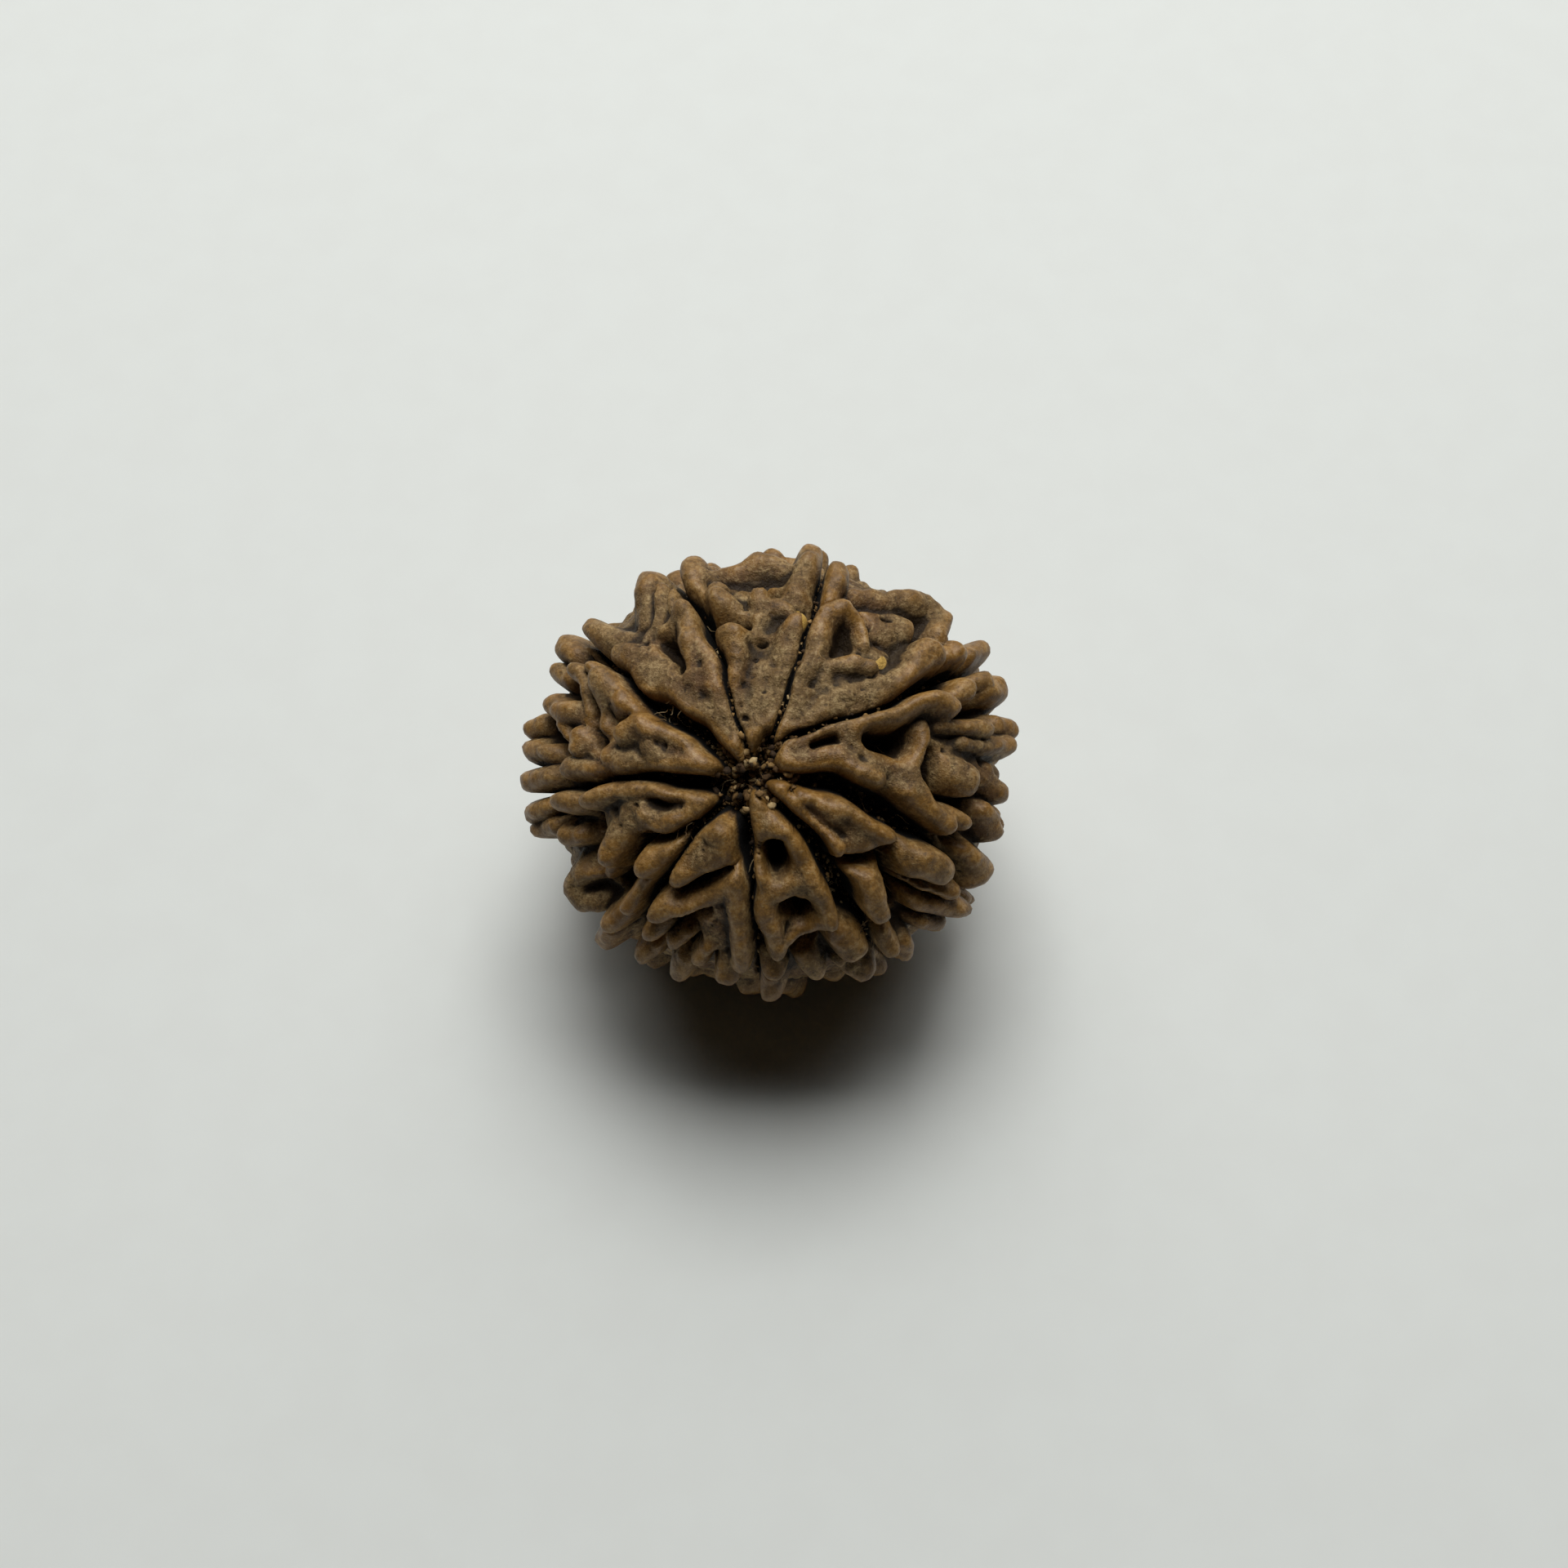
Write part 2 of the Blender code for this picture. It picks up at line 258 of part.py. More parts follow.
# Gaps and holes on the upper face: points (across, up, depth as a share of a furrow's, half-width).
FACE_GAPS = {
    "upper_left": [
        [(-4.0, 5.8, 0.4, 0.35), (-4.6, 6.3, 0.45, 0.4)],
        [(-3.6, 5.0, 0.4, 0.2), (-3.75, 5.5, 0.4, 0.25)],
    ],
    "top": [
        [(-1.9, 7.3, 0.6, 0.25), (-0.6, 7.2, 0.6, 0.25)],
        [(0.3, 6.4, 0.4, 0.12), (0.6, 6.45, 0.4, 0.12)],
        [(-0.5, 9.3, 0.6, 0.3), (0.2, 9.2, 0.9, 0.4), (0.9, 9.1, 0.6, 0.3)],
    ],
    "upper_right": [
        [(3.4, 8.1, 0.45, 0.18), (4.6, 8.2, 0.45, 0.2), (5.5, 7.4, 0.35, 0.25)],
        [(8.0, 7.1, 0.7, 0.28), (8.0, 6.4, 0.7, 0.28)],
        [(4.2, 6.0, 0.35, 0.4), (4.4, 6.3, 0.35, 0.4)],
        [(6.35, 7.75, 0.3, 0.2), (6.45, 7.7, 0.3, 0.2)],
    ],
    "right": [
        [(5.9, 1.65, 0.75, 0.4), (7.1, 1.5, 0.9, 0.6)],
        [(8.5, 0.7, 0.6, 0.35), (8.6, -0.9, 0.6, 0.35)],
        [(9.1, -1.3, 0.6, 0.25), (10.3, -1.3, 0.6, 0.25)],
        [(9.7, 3.1, 0.7, 0.28), (11.0, 3.1, 0.7, 0.28)],
        [(9.8, -3.2, 0.9, 0.28), (10.1, -3.2, 0.9, 0.28)],
        [(2.9, 1.3, 0.3, 0.17), (3.5, 1.4, 0.35, 0.18), (4.1, 1.5, 0.3, 0.17)],
    ],
    "lower_right": [
        [(4.3, -4.3, 0.8, 0.3), (5.5, -4.3, 0.8, 0.3), (6.6, -3.7, 0.8, 0.3)],
        [(6.5, -4.6, 0.9, 0.35), (6.8, -5.6, 0.9, 0.45), (6.9, -6.9, 0.9, 0.45)],
        [(7.3, -5.1, 0.5, 0.18), (8.3, -5.3, 0.6, 0.15), (9.2, -5.2, 0.5, 0.15)],
        [(7.3, -5.9, 0.6, 0.2), (8.6, -6.0, 0.6, 0.15)],
        [(1.95, -0.95, 0.5, 0.14), (2.05, -1.0, 0.5, 0.14)],
        [(2.7, -1.7, 0.08, 0.25), (3.4, -2.5, 0.1, 0.3), (4.1, -3.1, 0.08, 0.3)],
    ],
    "bottom": [
        [(0.95, -3.7, 1.0, 0.42), (1.2, -4.5, 1.0, 0.48)],
        [(1.8, -6.7, 1.0, 0.42), (2.2, -6.9, 1.0, 0.45)],
        [(1.5, -9.0, 0.8, 0.25), (2.7, -8.4, 0.8, 0.3), (3.4, -7.7, 0.7, 0.22)],
    ],
    "lower_left": [
        [(-1.3, -4.75, 0.8, 0.22), (-2.6, -5.45, 0.8, 0.28), (-4.0, -5.8, 0.8, 0.28)],
        [(-3.6, -7.1, 0.7, 0.35), (-2.7, -6.8, 0.6, 0.3)],
        [(-3.1, -8.5, 0.6, 0.2), (-3.6, -9.0, 0.7, 0.25)],
        [(-4.8, -8.2, 0.8, 0.22), (-4.6, -9.2, 0.8, 0.25)],
        [(-2.2, -9.2, 0.6, 0.2), (-2.2, -9.8, 0.6, 0.2)],
        [(-2.4, -3.4, 0.08, 0.25), (-2.9, -4.1, 0.08, 0.25)],
    ],
    "left": [
        [(-8.0, -3.7, 0.9, 0.42), (-8.5, -4.4, 0.9, 0.38)],
        [(-5.6, -3.5, 0.9, 0.3), (-6.3, -4.7, 0.9, 0.38)],
        [(-6.9, -5.2, 0.8, 0.35), (-7.5, -5.9, 0.8, 0.35)],
        [(-8.1, -2.1, 0.7, 0.3), (-7.9, -2.9, 0.7, 0.3)],
        [(-9.8, -2.2, 0.6, 0.25), (-10.4, -2.3, 0.6, 0.2)],
        [(-3.6, -1.6, 0.15, 0.42), (-4.8, -1.55, 0.15, 0.42)],
        [(-2.9, -2.8, 0.9, 0.25), (-4.0, -3.05, 0.8, 0.2), (-5.1, -3.3, 0.7, 0.25)],
    ],
    "left_high": [
        [(-10.2, 2.2, 0.8, 0.35), (-9.8, 1.2, 0.9, 0.35)],
        [(-7.9, 2.1, 0.7, 0.25), (-7.8, 1.4, 0.7, 0.25)],
        [(-7.8, 3.6, 0.6, 0.22), (-7.8, 2.8, 0.6, 0.22)],
        [(-6.2, 2.6, 0.6, 0.2), (-6.8, 2.1, 0.6, 0.25)],
        [(-9.5, 4.1, 0.7, 0.32), (-9.0, 3.7, 0.6, 0.25)],
        [(-10.8, 1.7, 0.7, 0.3), (-10.4, 1.8, 0.7, 0.3)],
    ],
    "pole": [
        [(-1.3, -0.5, 0.85, 0.65), (-0.4, -0.3, 0.9, 0.7), (0.6, 0.1, 0.85, 0.55)],
        [(0.2, 0.9, 0.9, 0.35), (0.8, 1.5, 0.9, 0.35)],
        [(-1.4, -1.3, 0.95, 0.45), (-1.0, -2.0, 0.95, 0.45)],
    ],
}


def on_crests(direction):
    """The point of the crest spheroid in a direction from the bead's centre."""
    x, y, z = (float(part) for part in direction)
    stretch = math.sqrt((x * x + y * y) / CREST_RADIUS**2 + z * z / CREST_HALF_HEIGHT**2)
    return Vector((x, y, z)) / stretch


def face_point(across, up):
    """The point of the crest spheroid that lies at these millimetres on the upper face."""
    share = min(math.hypot(across, up) / CREST_RADIUS, FACE_REACH)
    squeeze = share * CREST_RADIUS / math.hypot(across, up)
    return Vector((across * squeeze, up * squeeze, CREST_HALF_HEIGHT * math.sqrt(1 - share**2)))


def side_point(azimuth, polar):
    """The point of the crest spheroid at an azimuth and an angle from the upper pole, in radians."""
    outwards = math.sin(polar)
    return on_crests((outwards * math.cos(azimuth), outwards * math.sin(azimuth), math.cos(polar)))


def smooth_curve(points):
    """Points a step apart along a smooth curve through the given ones."""
    padded = [2 * points[0] - points[1], *points, 2 * points[-1] - points[-2]]
    made = []
    for before, start, end, after in zip(padded, padded[1:], padded[2:], padded[3:]):
        count = max(1, round(np.linalg.norm(end[:3] - start[:3]) / STEP))
        for t in np.arange(count) / count:
            made.append(0.5 * (2 * start + (end - before) * t
                               + (2 * before - 5 * start + 4 * end - after) * t**2
                               + (3 * start - before - 3 * end + after) * t**3))
    return [*made, points[-1]]


def stroke(places, sizes):
    """A brush stroke: rows of x, y, z on the crest spheroid, height and half-width."""
    rows = np.array(smooth_curve([np.array([*place, *size], float) for place, size in zip(places, sizes)]))
    rows[:, :3] = [on_crests(row[:3]) for row in rows]
    return rows


def bump(distance, half_width, power):
    """1 on a crest, a half at its half-width, and 0 well outside: the higher the power, the blunter."""
    return np.exp(-math.log(2) * (distance / half_width) ** power)


def lengths_along(vectors, way):
    """How far each vector reaches in a direction, in lengths of that direction."""
    reach = vectors[:, 0] * way[0] + vectors[:, 1] * way[1] + vectors[:, 2] * way[2]
    return reach / (way[0] ** 2 + way[1] ** 2 + way[2] ** 2)


def stroke_profile(points, rows, level):
    """The numbers of the points in a stroke's reach, and how far it stands over their level."""
    centre = rows[:, :3].mean(axis=0)
    reach = np.linalg.norm(rows[:, :3] - centre, axis=1).max() + 2 * rows[:, 4].max()
    near = np.flatnonzero(((points - centre) ** 2).sum(axis=1) < reach**2)
    over = np.zeros(len(near))
    for start, end in zip(rows, rows[1:]):
        way = end[:3] - start[:3]
        along = np.clip(lengths_along(points[near] - start[:3], way), 0, 1)
        distance = np.linalg.norm(points[near] - start[:3] - along[:, None] * way, axis=1)
        rise = np.maximum(start[3] + along * (end[3] - start[3]) - level[near], 0)
        half_width = (start[4] + along * (end[4] - start[4])) * (1 + FATTEN * rise)
        over = np.maximum(over, rise * bump(distance, half_width, BLUNTNESS))
    return near, over


def raise_ridges(points, strokes):
    """Height of the blended ridges over the floor spheroid at each point."""
    from_pole = np.hypot(points[:, 0], points[:, 1])
    inner_share = 1 / (1 + np.exp((from_pole - INNER_REACH) / INNER_FADE))
    level = OUTER_LEVEL + (INNER_LEVEL - OUTER_LEVEL) * inner_share
    heaped = np.zeros(len(points))
    for rows in strokes:
        near, over = stroke_profile(points, rows, level)
        heaped[near] += over**BLEND_POWER
    return level + heaped ** (1 / BLEND_POWER)


def hollow_share(points, strokes):
    """1 on the floor of a furrow, 0 outside the furrows, gaps and holes."""
    share = np.zeros(len(points))
    for rows in strokes:
        near, deep = stroke_profile(points, rows, np.zeros(len(points)))
        share[near] = np.maximum(share[near], deep)
    return share


def furrow_lines():
    """Nine furrows: as seen on the upper face, then on over the side to the lower pole."""
    chance = random.Random(SEED)
    lines = []
    for points in FACE_FURROWS.values():
        places = [face_point(across, up) for across, up, width in points]
        widths = [width for across, up, width in points]
        azimuth = math.atan2(places[-1].y, places[-1].x)
        for degrees in range(98, 179, 16):
            drift = math.radians(chance.uniform(-1.5, 1.5))
            places.append(side_point(azimuth + drift, math.radians(degrees)))
            widths.append(SIDE_FURROW_WIDTH)
        lines.append(stroke(places, [[min(1, width / WIDE_FURROW), width] for width in widths]))
    return lines


def on_face(lobes):
    """The strokes of a table of the upper face."""
    return [stroke([face_point(across, up) for across, up, size, width in points],
                   [[size, width] for across, up, size, width in points])
            for drawn in lobes.values() for points in drawn]


def knob(chance, azimuth, polar, top):
    """A knob of the hidden side: a short stroke that rises away from the upper pole."""
    width = chance.uniform(*KNOB_WIDTH)
    return stroke([side_point(azimuth, polar + 0.1), side_point(azimuth, polar)],
                  [[top * 0.8, width * 0.9], [top, width]])


def tier(chance, left, right, polar, tallness):
    """A row of knobs between two furrows, here and there a ridge from knob to knob, and a gap above."""
    around = CREST_RADIUS * math.sin(polar)
    half = max(0.2, (right - left) / 2 - FURROW_MARGIN / around)
    middle = (left + right) / 2
    ridges, tops = [], []
    for place in np.linspace(-1, 1, max(2, round((right - left) * around / KNOBS_APART))):
        beside_furrow = abs(place) > 0.99
        azimuth = middle + place * half + (0 if beside_furrow else chance.uniform(-0.05, 0.05))
        turn = polar + chance.uniform(-0.06, 0.06)
        top = tallness * chance.uniform(*(OUTER_KNOB if beside_furrow else INNER_KNOB))
        tops.append((side_point(azimuth, turn), top))
        ridges.append(knob(chance, azimuth, turn, top))
    for (start, top), (end, far_top) in zip(tops, tops[1:]):
        if chance.random() < 0.6:
            low = 0.75 * min(top, far_top)
            ridges.append(stroke([start, end], [[low, 0.4], [low, 0.4]]))
    centre = middle + chance.uniform(-0.4, 0.4) * half
    gap = stroke([side_point(centre - 0.4 * half, polar - 0.1), side_point(centre + 0.4 * half, polar - 0.1)],
                 [[chance.uniform(0.5, 0.8), 0.28], [chance.uniform(0.3, 0.7), 0.22]])
    return ridges, gap


def hidden_side():
    """Ridges and gaps where the upper face ends: tier below tier down each face."""
    chance = random.Random(SEED + 1)
    azimuths = sorted(math.atan2(points[-1][1], points[-1][0]) for points in FACE_FURROWS.values())
    ridges, gaps = [], []
    for left, right in zip(azimuths, azimuths[1:] + [azimuths[0] + 2 * math.pi]):
        polar = chance.uniform(*FIRST_TIER_DEG)
        tallness = FIRST_TIER_SHARE
        while polar < LAST_TIER_DEG:
            made, gap = tier(chance, left, right, math.radians(polar), tallness)
            ridges += made
            gaps.append(gap)
            polar += chance.uniform(*TIER_STEP_DEG)
            tallness = 1.0
    return ridges, gaps


def on_spheroid(directions, radii):
    return directions / np.linalg.norm(directions / np.array(radii), axis=1)[:, None]


def wall_points(directions, ridges, hollows):
    """The bead's surface along unit directions, in millimetres; rounded, so that every run gives the same."""
    points = on_spheroid(directions, (CREST_RADIUS, CREST_RADIUS, CREST_HALF_HEIGHT))
    places = [Vector(point) for point in points]
    strayed = points + WAVER * np.array([noise.noise_vector(place * WAVER_FINENESS) for place in places])
    lumps = [sum(tall * noise.noise(place * fine) for tall, fine in LUMPS) for place in places]
    height = raise_ridges(strayed, ridges) + np.array(lumps)
    share = hollow_share(strayed, hollows)
    height = height * (1 - share) - FURROW_DEPTH * share
    floor = on_spheroid(directions, (FLOOR_RADIUS_X, FLOOR_RADIUS_Y, FLOOR_HALF_HEIGHT))
    return np.round(floor + directions * height[:, None], 6)


def lying():
    """Turns the bead's own axes to how it lies."""
    towards = Matrix.Rotation(math.radians(POLE_LEAN_DEG), 3, "X")
    sideways = Matrix.Rotation(-math.radians(POLE_SIDE_LEAN_DEG), 3, "Y")
    return towards @ sideways


def neighbour_mean(points, edges, counts):
    """The mean of each point's neighbours."""
    total = np.zeros_like(points)
    for start, end in ((0, 1), (1, 0)):
        for column in range(points.shape[1]):
            total[:, column] += np.bincount(edges[:, start], points[edges[:, end], column], len(points))
    return total / counts[:, None]


def stands_out(points, edges, counts, rounds):
    """How far each point stands out from its surroundings, in millimetres: below 0 in a valley."""
    around = points
    for turn in range(rounds):
        around = neighbour_mean(around, edges, counts)
    outwards = points / np.linalg.norm(points, axis=1)[:, None]
    return ((points - around) * outwards).sum(axis=1)


def swollen(mesh, points, edges, counts, rounds):
    """Blows up the knobs and crests along their normals, which rounds their ends and fattens them."""
    mesh.vertices.foreach_set("co", points.ravel())
    mesh.update()
    normals = np.empty(len(points) * 3)
    mesh.vertex_normals.foreach_get("vector", normals)
    share = (stands_out(points, edges, counts, rounds) - SWOLLEN_FROM) / (SWOLLEN_WHOLLY - SWOLLEN_FROM)
    share = np.clip(share, 0, 1)[:, None]
    for turn in range(rounds):
        share = neighbour_mean(share, edges, counts)
    return points + SWELLING * share * normals.reshape(-1, 3)


def bead_mesh():
    """A dense ball pushed out to the wall, its points slid along the wall until they lie evenly."""
    ball = bmesh.new()
    bmesh.ops.create_icosphere(ball, subdivisions=BALL_SUBDIVISIONS, radius=1.0)
    mesh = bpy.data.meshes.new("bead")
    ball.to_mesh(mesh)
    ball.free()
    directions = np.empty(len(mesh.vertices) * 3)
    mesh.vertices.foreach_get("co", directions)
    directions = directions.reshape(-1, 3)
    edges = np.empty(len(mesh.edges) * 2, int)
    mesh.edges.foreach_get("vertices", edges)
    edges = edges.reshape(-1, 2)
    counts = np.bincount(edges.ravel(), minlength=len(directions))
    hidden_ridges, hidden_gaps = hidden_side()
    ridges = on_face(FACE_RIDGES) + hidden_ridges
    hollows = furrow_lines() + on_face(FACE_GAPS) + hidden_gaps
    for turn in range(RELAXING_ROUNDS):
        points = wall_points(directions, ridges, hollows)
        points = 0.3 * points + 0.7 * neighbour_mean(points, edges, counts)
        directions = points / np.linalg.norm(points, axis=1)[:, None]
    points = swollen(mesh, wall_points(directions, ridges, hollows), edges, counts, REACH_ROUNDS)
    mesh.vertices.foreach_set("co", (points * MM).ravel())
    mesh.transform(Matrix.Translation((0, 0, CENTRE_HEIGHT * MM)) @ lying().to_4x4())
    mesh.update()
    return mesh


def thinned(mesh):
    """The same wall with few enough triangles, kept where it bends most."""
    helper = bpy.data.objects.new("dense_wall", mesh)
    bpy.context.scene.collection.objects.link(helper)
    fewer = helper.modifiers.new("fewer triangles", "DECIMATE")
    fewer.ratio = MOST_TRIANGLES / len(mesh.polygons)
    graph = bpy.context.evaluated_depsgraph_get()
    made = bpy.data.meshes.new_from_object(helper.evaluated_get(graph))
    bpy.data.objects.remove(helper)
    return made


def wear_flat(mesh):
    """Cuts the lowest knobs off level, where the bead rests."""
    work = bmesh.new()
    work.from_mesh(mesh)
    cut = bmesh.ops.bisect_plane(work, geom=[*work.verts, *work.edges, *work.faces], dist=1e-7,
                                 plane_co=(0, 0, 0), plane_no=(0, 0, 1), clear_inner=True)
    rims = [piece for piece in cut["geom_cut"] if isinstance(piece, bmesh.types.BMEdge)]
    bmesh.ops.edgenet_fill(work, edges=rims)
    bmesh.ops.recalc_face_normals(work, faces=work.faces)
    work.to_mesh(mesh)
    work.free()


def set_over_origin(mesh):
    """Moves the bead sideways until the middle of its box is over the origin, and says how far."""
    places = [vertex.co for vertex in mesh.vertices]
    shift = [-(min(co[axis] for co in places) + max(co[axis] for co in places)) / 2 for axis in (0, 1)]
    mesh.transform(Matrix.Translation((*shift, 0)))
    return shift


def seed_shell():
    shell = bpy.data.materials.new("seed shell")
    shell.use_nodes = True
    finish = shell.node_tree.nodes["Principled BSDF"]
    finish.inputs["Base Color"].default_value = (0.165, 0.088, 0.036, 1)
    finish.inputs["Roughness"].default_value = 0.55
    finish.inputs["Metallic"].default_value = 0.0
    return shell


def main():
    for old in list(bpy.data.objects):
        bpy.data.objects.remove(old)
    collection = bpy.data.collections.new("rudraksha bead")
    bpy.context.scene.collection.children.link(collection)
    mesh = thinned(bead_mesh())
    wear_flat(mesh)
    set_over_origin(mesh)
    mesh.name = "bead"
    bead = bpy.data.objects.new("bead", mesh)
    collection.objects.link(bead)
    mesh.materials.clear()
    mesh.materials.append(seed_shell())
    mesh.shade_smooth()


if __name__ == "__main__":
    main()
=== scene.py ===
# %% [markdown]
# # A nine-faced rudraksha bead
# A rudraksha bead is the stone of a blue forest fruit, cleaned and dried. Nine furrows part it from pole to
# pole, and each face between two furrows is a maze of ridges that end in blunt, polished knobs. Crumbs of
# dried fruit still fill the furrows. This lesson grows that one piece, paints it, fills its furrows and
# lights it on pale paper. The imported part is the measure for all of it, so it is loaded first.

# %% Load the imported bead
import json
import math
import random

import bmesh
import bpy
import numpy as np
from mathutils import Matrix, Vector, noise

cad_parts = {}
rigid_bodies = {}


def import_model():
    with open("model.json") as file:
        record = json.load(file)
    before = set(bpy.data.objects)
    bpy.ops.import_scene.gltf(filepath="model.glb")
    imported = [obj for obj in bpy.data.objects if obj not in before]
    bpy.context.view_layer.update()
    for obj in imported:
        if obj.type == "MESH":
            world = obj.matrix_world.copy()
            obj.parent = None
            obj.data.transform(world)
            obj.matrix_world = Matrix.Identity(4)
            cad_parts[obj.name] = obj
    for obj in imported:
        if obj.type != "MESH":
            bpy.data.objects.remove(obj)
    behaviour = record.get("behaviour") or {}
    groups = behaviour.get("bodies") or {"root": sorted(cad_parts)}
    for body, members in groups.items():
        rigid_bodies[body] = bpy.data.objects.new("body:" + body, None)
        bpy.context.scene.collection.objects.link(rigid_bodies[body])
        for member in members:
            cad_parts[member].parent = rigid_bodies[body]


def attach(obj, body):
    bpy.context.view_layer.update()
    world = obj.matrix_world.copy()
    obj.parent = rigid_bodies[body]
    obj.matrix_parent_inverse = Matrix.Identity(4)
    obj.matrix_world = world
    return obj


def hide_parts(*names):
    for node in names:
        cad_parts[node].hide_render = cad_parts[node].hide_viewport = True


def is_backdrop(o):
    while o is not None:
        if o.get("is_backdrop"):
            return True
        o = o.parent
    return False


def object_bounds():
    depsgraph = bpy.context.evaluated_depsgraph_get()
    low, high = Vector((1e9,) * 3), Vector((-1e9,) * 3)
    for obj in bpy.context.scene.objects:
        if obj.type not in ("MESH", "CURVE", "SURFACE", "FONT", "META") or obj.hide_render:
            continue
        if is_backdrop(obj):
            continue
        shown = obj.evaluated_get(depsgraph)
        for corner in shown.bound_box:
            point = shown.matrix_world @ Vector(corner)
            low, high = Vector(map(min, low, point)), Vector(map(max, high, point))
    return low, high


for old in list(bpy.data.objects):
    bpy.data.objects.remove(old)
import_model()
cad_low, cad_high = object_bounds()
print("packed bead, mm:", [round(1000 * side, 2) for side in cad_high - cad_low])

# %% [markdown]
# ## Sizes
# Everything about the seed is in millimetres, and is turned into metres once, when a mesh is made. The wall
# is worked out from two flattened balls, called spheroids: the floors of the valleys lie on the small one
# and the crests of the ridges reach about to the large one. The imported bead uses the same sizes, and that
# is why the fine one grown here fits it knob for knob. The noise that lets the lines stray gets the same
# seed as there too. Left alone, it would start anew at each run, and the two would no longer fit.

# %% Sizes of the bead
MM = 0.001
# The ball, in millimetres: the valley floors lie on one spheroid and the ridge crests near another.
FLOOR_RADIUS_X = 10.3
FLOOR_RADIUS_Y = 9.65
FLOOR_HALF_HEIGHT = 8.7
CREST_RADIUS = 12.2
CREST_HALF_HEIGHT = 10.4

# How it lies: the pole leans from upright towards -Y, then a little towards -X. The knobs that would
# reach below the ground are worn off level there.
POLE_LEAN_DEG = 28.0
POLE_SIDE_LEAN_DEG = 5.0
CENTRE_HEIGHT = 10.7

INNER_LEVEL = 1.35         # the wall between the ridges near the poles, above the floor spheroid
OUTER_LEVEL = 0.6          # the same round the sides, where the knobs stand further out
INNER_REACH = 7.8          # where the one gives way to the other, from the axis
INNER_FADE = 0.35          # and how gradually
FURROW_DEPTH = 1.1         # the widest furrows, below the floor spheroid
WIDE_FURROW = 0.34         # half-width from which a furrow has its full depth
BLUNTNESS = 3.2            # of the ridges' cross-section: 2 is pointed, 4 nearly square
FATTEN = 0.13              # how much wider a ridge gets with each millimetre that it rises
BLEND_POWER = 4.0          # how sharply two ridges that meet stay apart
WAVER = 0.3                # how far the drawn lines stray
WAVER_FINENESS = 0.55      # and how many times in a millimetre they change their way
LUMPS = ((0.16, 0.9), (0.06, 2.3))   # low lumps all over: their height, and how many in a millimetre
STEP = 0.7                 # length of the straight pieces that a curve is made of

SWELLING = 0.3             # how far the skin of the knobs is blown up, so that they end round
SWOLLEN_FROM = 0.06        # knobs and ridges that stand out less than this keep their skin
SWOLLEN_WHOLLY = 0.6       # and those that stand out more than this get all of it

# The hidden side, where the upper face ends: tiers of knobs, one below the other.
FACE_REACH = 0.992         # how much of the crest radius the upper face covers
FIRST_TIER_DEG = (96, 99)  # least and most, from the upper pole
FIRST_TIER_SHARE = 0.72    # the first tier is this much lower than the others
TIER_STEP_DEG = (11, 14)
LAST_TIER_DEG = 168
KNOBS_APART = 2.5          # along a tier, about
FURROW_MARGIN = 1.0        # from the middle of a furrow to the first knob
OUTER_KNOB = (1.9, 2.35)   # height beside a furrow, least and most
INNER_KNOB = (1.3, 2.1)    # height away from the furrows
KNOB_WIDTH = (0.55, 0.7)   # half-width
SIDE_FURROW_WIDTH = 0.22   # half-width of the furrows there

RELAXING_ROUNDS = 5
SEED = 9
WAVER_SEED = 1795778946    # picks one of the many ways in which the lines can stray

noise.seed_set(WAVER_SEED)
print("crest to crest:", 2 * CREST_RADIUS, "mm")
